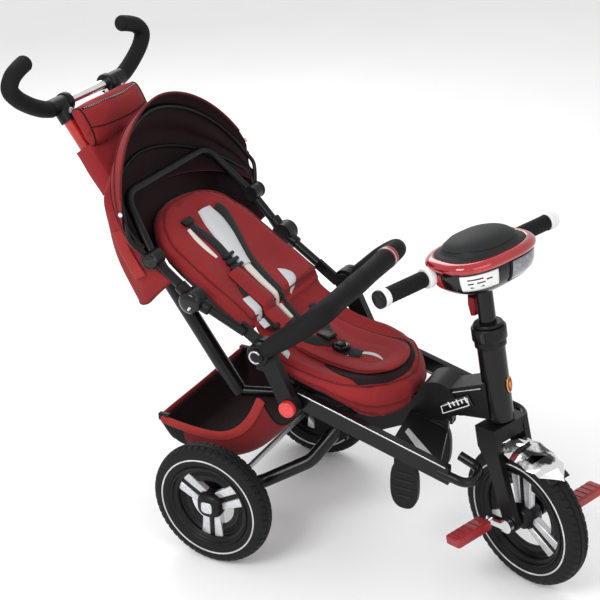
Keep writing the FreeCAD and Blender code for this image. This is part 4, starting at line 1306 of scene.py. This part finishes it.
def console():
    """The play console's tub, ring, dome, lamp and panel."""
    z = BAR_HEIGHT
    body = "steering"
    tub = console_shell("console_tub", ((16, 18, -50), (30, 34, -47), (40, 58, -41), (55, 80, -31),
                                        (64, 92, -18), (67, 96, -4), (68, 97, 9), (66, 95, 14)),
                        "plastic_gloss", sharp=55)
    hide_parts("console_housing")
    ring = console_shell("console_ring_red", ((62, 90, 11), (69, 98, 10.5), (73.5, 102.5, 14),
                                              (75, 104, 19), (73.5, 102.5, 25), (69, 97, 29),
                                              (62, 89, 30.5), (58, 84, 27)),
                         "red_gloss", caps=False)
    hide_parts("console_bezel")
    dome = console_shell("console_soft_dome", ((60, 87, 20), (62, 88, 28), (61, 86, 31), (56, 78, 32),
                                               (54, 74, 36, 2.5), (51, 69, 43, 2.4), (44, 60, 50, 2.3),
                                               (34, 46, 54.6, 2.2), (22, 29, 57.2, 2.1),
                                               (10, 13, 58.4, 2), (2, 3, 58.6, 2)), "plastic_soft")
    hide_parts("console_dome")
    skin = Skin(tub)

    def tub_patch(name, start_deg, end_deg, low, high, material, out, bulge=0.0):
        """A plate that follows the tub between two angles and two heights."""
        rows = []
        for k in range(25):
            turn = math.radians(start_deg + (end_deg - start_deg) * k / 24)
            row = []
            for m in range(9):
                height = z + low + (high - low) * m / 8
                a, b = 200 * math.cos(turn), 200 * math.sin(turn)
                outside = on_steering(6 + a, b, height)
                inward = on_steering(6, 0, height) - outside
                point = skin.hit(outside, inward / np.linalg.norm(inward), outside + inward * 0.6)
                rim_fade = math.sin(math.pi * m / 8) * math.sin(math.pi * k / 24)
                row.append(point - inward / np.linalg.norm(inward) * (out + bulge * rim_fade))
            rows.append(row)
        return hard_plate(name, rows, material, 1.6, body), rows

    lamp, _ = tub_patch("console_lens", 6, 62, -26, 9, "lens", 2.0, 4.0)
    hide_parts("console_headlight")
    tub_patch("console_lens_frame", 2, 66, -29, 11, "plastic", 1.0)
    _, rows = tub_patch("console_panel", -68, -22, -22, 8, "white", 1.3)
    rows = np.array(rows)
    out = STEER_X * 0.6 - STEER_Y * 0.8
    for k, (i, j, length) in enumerate(((4, 6, 5), (4, 4, 3), (9, 6, 4), (9, 4, 5), (15, 5, 4), (5, 2, 8))):
        start, end = rows[i, j], rows[min(i + length, 23), j]
        centre = (start + end) / 2 + out * 1.2
        run = (end - start) / np.linalg.norm(end - start)
        block("console_mark_%d" % k, centre, (np.linalg.norm(end - start), 2.4, 1.0),
              (run, STEER_Z, np.cross(run, STEER_Z)), 0.3, "plastic", body)
    tub_patch("console_side_mark", -104, -92, -24, 6, "red_plastic", 1.3)
    tub_patch("console_side_mark_far", 92, 104, -24, 6, "red_plastic", 1.3)
    turned("console_neck", [(14, -56), (22, -54), (27, -48), (24, -44), (10, -42)],
           on_steering(0, 0, z), STEER_Z, "plastic", body, 48, sharp=50)
    dome_skin = Skin(dome)
    line = [dome_skin.near(on_steering(CONSOLE_SHIFT + 50 * math.cos(t), 66 * math.sin(t), z + 38.0))
            for t in np.linspace(0, 2 * math.pi, 33)[:-1]]
    pipe("console_dome_bead_0", line, 0.9, "plastic", body, 120, True, 8)


def handlebar():
    """Ribbed grips with their rings, ends and collars."""
    body = "steering"
    centre = on_steering(BAR_BACK, 0, BAR_HEIGHT)

    def spun(name, outline, sign, material, **kw):
        return turned(name, [(r, sign * h) for r, h in outline], centre, STEER_Y, material, body, 40, **kw)

    for side, sign in SIDES.items():
        outline = [(13.5, 111)]
        for k in range(9):
            at = 114 + 9.6 * k
            outline += [(14.6, at), (15.1, at + 1.6), (15.1, at + 6.4), (14.4, at + 8)]
        outline += [(15.5, 201), (12, 201.5)]
        grip = spun("grip_" + side, outline, sign, "foam", slot="grip_black", sharp=60)
        if sign > 0:
            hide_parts("handlebar_grips")
        ring = [(12, 200), (16.4, 200.5), (17, 203), (17, 211), (15.6, 213.5), (12, 214)]
        spun("grip_end_ring_" + side, ring, sign, "white", closed=True, sharp=50)
        end = [(11, 211), (15.6, 212), (16.8, 216), (16.2, 220), (13, 222), (0.5, 222.4)]
        spun("grip_end_" + side, end, sign, "white" if sign > 0 else "plastic", sharp=50)
        collar = [(12, 96), (18.6, 96.5), (19.4, 99), (19.4, 109), (18, 111.5), (12, 112)]
        piece = spun("grip_collar_" + side, collar, sign, "white", closed=True, sharp=50)
        if sign > 0:
            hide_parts("grip_rings")


def steering_trim():
    """The ribbed collar, the badge, and the bright fender with its pointed facets."""
    axis = np.array(JOINTS["steer"]["axis"], float)
    foot = STEER_FOOT
    badge = foot + axis * 266 + np.array([axis[2], 0, -axis[0]]) * 25.2
    normal = np.array([axis[2], 0, -axis[0]])
    x, y, z = axis, np.array([0, 1.0, 0]), normal
    for name, a, b, depth, material in (("badge_plate", 15, 10.5, 1.6, "plastic_gloss"),
                                        ("badge_heart", 6, 3.4, 2.8, "amber")):
        ring = oval(a, b, 32)
        rings = [[badge + x * p * s + y * q * s + z * h for p, q in ring]
                 for s, h in ((1, -2.5), (1, depth * 0.6), (0.94, depth), (0.1, depth + 0.1))]
        loft(name, rings, material, "frame")
    pipe("badge_rim", [badge + x * p + y * q + z * 1.2 for p, q in oval(15, 10.5, 32)], 1.5, "amber",
         "frame", 90, True, 8, up=tuple(normal))
    head = foot + axis * 344
    for k, (radius, low, high) in enumerate(((29.5, 0, 14), (32.5, 14, 40), (28.0, 40, 47))):
        outline = [(16.3, low), (radius - 1.5, low), (radius, low + 1.8), (radius, high - 2.2),
                   (radius - 1.8, high), (16.3, high)]
        piece = turned("collar_%d" % k, outline, head, axis, "plastic", "frame", 64, closed=True, sharp=45)
        if k == 0:
            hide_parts("head_collar")
    block("collar_key", head + axis * 27 + np.array([0, -32.5, 0]), (20, 9, 5),
          (axis, normal, (0, 1, 0)), 1.5, "plastic_gloss", "frame")
    fender()


def fender():
    """Sharp bright facets over the wheel, from under the crown to a pointed nose."""
    body = "steering"

    def over_wheel(degrees, radius, y):
        turn = math.radians(degrees)
        return on_steering(35 + radius * math.cos(turn), y, radius * math.sin(turn))

    rows = [
        (94, 155, 26, 20, 2), (88, 157, 34, 26, 9), (82, 156, 36, 33, 2), (76, 158, 38, 34, 12),
        (70, 156, 36, 30, 2), (64, 157, 38, 35, 10), (58, 156, 33, 24, 2), (53, 157, 34, 22, 8),
        (48, 155, 18, 10, 5), (44, 153, 4, 3, 1),
    ]
    pts = []
    for degrees, radius, outer, drop, crest in rows:
        row = []
        for share, down, up in ((-1.0, 1.0, 0), (-0.72, 0.35, 0.2), (-0.34, 0.0, 0.15), (0, 0, 1.0),
                                (0.34, 0.0, 0.15), (0.72, 0.35, 0.2), (1.0, 1.0, 0)):
            row.append(over_wheel(degrees + 2.5 * abs(share),
                                  radius - drop * 0.5 * down + crest * 0.6 * up, outer * share))
        pts.append(row)
    # Their chrome paints reflections as black and white patches in its base colour.
    shield = sheet("fender_facets", pts, "chrome_dark")
    thick(shield, 2.0)
    for polygon in shield.data.polygons:
        polygon.use_smooth = False
    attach(shield, body)
    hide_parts("front_fender")
    under = []
    for k in range(25):
        degrees = 46 + (96 - 46) * k / 24
        under.append([over_wheel(degrees, 149.5 - 4.5 * abs(s) ** 2.2, 25 * s)
                      for s in np.linspace(-1, 1, 11)])
    hard_plate("fender_under", under, "plastic", 2.0, body)


def pedals():
    """Raised ribs across both faces of each pedal."""
    for side in SIDES:
        body = "pedal_" + side
        centre = place_of(body + "_spin")
        for k in range(5):
            for top in (-1, 1):
                at = centre + STEER_Y * ((k - 2) * 15.0) + STEER_Z * (top * 10.2)
                block("%s_rib_%d%s" % (body, k, "a" if top > 0 else "b"), at, (28, 3.2, 2.4),
                      (STEER_X, STEER_Y, STEER_Z), 0.7, "red_plastic", body)


# ---------------------------------------------------------------- frame trim and the bumper


def bumper():
    """The foam bar across the lap, its hubs and its bands."""
    body = "bumper"
    lift = math.radians(38.8)
    arm = np.array([math.cos(lift), 0, math.sin(lift)])
    reach, half, corner = 150, 190, 46.0
    path = []
    for k in range(12):
        path.append(SEAT_PIVOT + arm * (12 + (reach - corner - 12) * k / 11) + np.array([0, -half, 0]))
    for k in range(1, 12):
        t = math.pi / 2 * k / 12
        path.append(SEAT_PIVOT + arm * (reach - corner + corner * math.sin(t))
                    + np.array([0, -half + corner * (1 - math.cos(t)), 0]))
    for k in range(18):
        path.append(SEAT_PIVOT + arm * reach + np.array([0, (half - corner) * (2 * k / 17 - 1), 0]))
    mirror = [p * np.array([1, -1, 1]) for p in path[:23]][::-1]
    path = np.array(path + mirror)
    run = np.concatenate([[0], np.cumsum(np.linalg.norm(np.diff(path, axis=0), axis=1))])
    total = run[-1]
    scales = []
    for at in run:
        end = min(at, total - at)
        scales.append(13.0 + 7.4 * min(1.0, end / 70.0) ** 0.7 + 0.5 * math.sin(at * 0.05))
    bar = sweep("bumper_foam", path, circle(1.0, 28), "foam", body, scales=scales, up=(0.2, 0.1, 1),
                round_ends=5)
    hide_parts("bumper_bar")
    for side, sign in SIDES.items():
        turned("bumper_hub_" + side, [(6, 181), (20, 181.2), (22.5, 184), (22.5, 196), (20, 200),
                                      (6, 200.4)],
               SEAT_PIVOT, (0, sign, 0), "plastic", body, 48, sharp=45)
    at = SEAT_PIVOT + arm * reach
    for name, y, width, radius, material in (("bumper_band_red", 118, 9, 21.2, "red_plastic"),
                                             ("bumper_band_silver", 111, 3, 21.5, "silver"),
                                             ("bumper_band_red_b", 107, 3.4, 21.2, "red_plastic")):
        turned(name, [(19, y - width / 2), (radius, y - width / 2), (radius + 0.4, y),
                      (radius, y + width / 2), (19, y + width / 2)], at, (0, 1, 0), material, body, 48,
               closed=True, sharp=50)
    for side, sign in SIDES.items():
        ring = []
        for k in range(25):
            t = math.radians(40 + 270 * k / 24)
            ring.append(SEAT_PIVOT + np.array([11.5 * math.cos(t), sign * 206.0, 11.5 * math.sin(t)]))
        pipe("pivot_ring_" + side, ring, 1.7, "silver", "frame", 60, sides=10, up=(0, 1, 0))
        turned("pivot_cap_" + side, [(14, 202), (14.5, 204), (12, 206.5), (5, 207), (0.5, 207)],
               SEAT_PIVOT, (0, sign, 0), "plastic", "frame", 40, sharp=45)


def rail_top(x):
    """The height of the side rail's upper edge at x."""
    return 363.0 - 0.27 * (x - 75.0)


def frame_trim():
    """Silver strips painted as highlights along the rails' edges, knuckles, knobs, foot grips, the gaiter
    and the beam's label.
    """
    for side, sign in SIDES.items():
        # Thin silver strips along each rail's upper outer edge and lower inner edge: painted highlights.
        def rail_highlight_strip(name, x0, x1, y, drop, width):
            rows = []
            for k in range(30):
                x = x0 + (x1 - x0) * k / 29
                rows.append([(x, sign * y, rail_top(x) - drop - w) for w in (0, width / 2, width)])
            hard_plate(name + side, rows, "silver", 0.7, "frame")

        rail_highlight_strip("rail_highlight_top_", 18, 316, 155.5, 1.5, 2.6)
        rail_highlight_strip("rail_highlight_low_", 150, 316, 140.5, 30.0, 2.4)
        knuckle = on_back(162, 0, -20) * np.array([1, 0, 1])
        turned("knuckle_cap_" + side, [(20, 188), (22.6, 190.5), (22, 195), (17, 198.5), (8, 200),
                                       (0.5, 200.2)],
               knuckle, (0, sign, 0), "plastic_gloss", "backrest", 48, sharp=60)
        block("knuckle_slot_" + side, knuckle + np.array([3, sign * 198.6, -9]), (5, 10, 4),
              ((0.8, 0, -0.6), (0.6, 0, 0.8), (0, sign, 0)), 1.2, "silver", "backrest")
        sleeve = smooth_path([on_back(128, sign * 172, -16), on_back(162, sign * 176, -20),
                              on_back(198, sign * 180, -14)], 24)
        sweep("knuckle_sleeve_" + side, sleeve, circle(12.5, 20), "plastic", "backrest", round_ends=4)
        turned("canopy_knob_" + side, [(12, 200), (17, 201), (17.5, 205), (15, 208.5), (12.5, 209),
                                       (11.5, 207.5), (8, 207.6), (7, 209), (0.5, 209.4)], HUB,
               (0, sign, 0), "plastic_gloss", "backrest", 48, sharp=40)
        foot = place_of("foot_plate_left_fold") * np.array([1, 0, 1]) + np.array([0, sign * 80.0, 0])
        for k in range(4):
            at = foot + np.array([0, sign * 5.6, -40 - 17.0 * k])
            block("foot_grip_%s_%d" % (side, k), at, (40 - 5 * abs(k - 1.5), 1.6, 4), WORLD, 0.6,
                  "plastic_soft", "foot_plate_" + side)
        line = [(330, sign * 28.6, 398), (262, sign * 28.6, 371), (205, sign * 28.6, 343)]
        pipe("beam_line_" + side, line, 1.1, "silver", "frame", 30, sides=8)
    gaiter = []
    for k in range(19):
        f = k / 18
        fold = 4.5 * math.sin(f * 5 * 2 * math.pi)
        half_x = 74 - 34 * f + fold
        half_y = 92 - 48 * f + fold
        gaiter.append([(14 + 10 * f + a + 2 * math.sin(3 * b / 30), b,
                        342 - 96 * f + 4 * math.sin(a * 0.07 + f * 9))
                       for a, b in oval(half_x, half_y, 56, 2.4)])
    cloth("seat_gaiter", gaiter, "black_cloth", 1.5, "frame", "gathered", ["seat_support"], wrap_v=True)
    corners = np.array([(256, -34, 345), (306, -34, 375), (311, -34, 361), (260, -34, 331)], float)
    border = []
    for k in range(4):
        run = corners[(k + 1) % 4] - corners[k]
        border += [corners[k] + run / np.linalg.norm(run) * 2, corners[k] + run * 0.5,
                   corners[(k + 1) % 4] - run / np.linalg.norm(run) * 2]
    pipe("beam_label_edge", border, 0.9, "white", "frame", 120, True, 8, up=(0, 1, 0))
    for k in range(5):
        x = 272 + 8 * k
        block("beam_mark_%d" % k, (x, -33.4, 352 + 4.6 * k), (3.2, 1.4, 12 - 3 * (k % 2)),
              ((0.86, 0, 0.5), (0, 1, 0), (-0.5, 0, 0.86)), 0.4, "white", "frame")
    block("beam_label_base", (288, -30.5, 357), (58, 25, 6), ((0.86, 0, 0.5), (-0.5, 0, 0.86), (0, 1, 0)),
          2.0, "plastic_gloss", "frame")


def plain_nodes():
    """Paints the parts that show as they are."""
    assign("rear_axle", "steel")
    assign("crank_axle handle_cross_tube", "chrome")
    assign("rear_bow_tubes head_tube footrest_rails handle_sockets steering_stem handlebar_tube",
           "frame_black")
    assign("backrest_frame main_beam seat_support footboard seat_side_brackets brake_housings fork "
           "handle_clamps foot_plate_left foot_plate_right backrest_board seat_shell", "plastic")
    assign("footrest_inserts", "silver")
    assign("brake_pedal_left brake_pedal_right pedal_left pedal_right stem_lever console_button",
           "red_plastic")
    assign("release_button_left release_button_right", "red_button")
    assign("handle_tubes", "red_tube")


# ---------------------------------------------------------------- stage


def stage():
    """The floor, the lights and the camera."""
    scene = bpy.context.scene
    scene.view_settings.view_transform = "Standard"
    scene.view_settings.look = "None"
    floor_mesh = bpy.data.meshes.new("floor")
    floor_mesh.from_pydata([(-6, -6, -0.0005), (6, -6, -0.0005), (6, 6, -0.0005), (-6, 6, -0.0005)], [],
                           [(0, 1, 2, 3)])
    floor = bpy.data.objects.new("floor", floor_mesh)
    scene.collection.objects.link(floor)
    pale = Paint("floor_pale", specular=0.2)
    pale.colour(pale.noise(3.0, 2.0), [(0.2, (0.93, 0.93, 0.93)), (0.8, (0.96, 0.96, 0.96))])
    pale.set("Roughness", 0.8)
    floor_mesh.materials.append(pale.material)
    world = bpy.data.worlds.new("studio")
    world.use_nodes = True
    world.node_tree.nodes["Background"].inputs[0].default_value = (1, 1, 1, 1)
    world.node_tree.nodes["Background"].inputs[1].default_value = 0.8
    scene.world = world
    for name, place, power, size in (("key", (-0.4, -2.6, 2.6), 56, 1.4),
                                     ("fill", (2.6, -1.2, 1.6), 16, 2.0),
                                     ("rim", (-1.6, 1.8, 2.2), 26, 1.8)):
        light = bpy.data.lights.new(name, "AREA")
        light.energy = power
        light.size = size
        lamp = bpy.data.objects.new(name, light)
        lamp.location = place
        lamp.rotation_mode = "QUATERNION"
        lamp.rotation_quaternion = (Vector((0, 0, 0.45)) - Vector(place)).to_track_quat("-Z", "Y")
        scene.collection.objects.link(lamp)
    data = bpy.data.cameras.new("camera")
    data.lens = 84.2
    data.sensor_width = 36.0
    camera = bpy.data.objects.new("camera", data)
    right = Vector((0.8825, 0.4699, -0.0201))
    up = Vector((-0.1884, 0.3924, 0.9003))
    back = Vector((0.4309, -0.7907, 0.4348))
    turn = Matrix((right, up, back)).transposed()
    camera.matrix_world = Matrix.Translation((1.1155, -2.1530, 1.6691)) @ turn.to_4x4()
    scene.collection.objects.link(camera)
    scene.camera = camera


plain_nodes()
wheels()
back_surface = backrest()
harness(back_surface)
back_flap()
seat_surface = seat()
seat_liner(seat_surface)
canopy()
basket()
push_handle()
console()
handlebar()
steering_trim()
pedals()
bumper()
frame_trim()
stage()
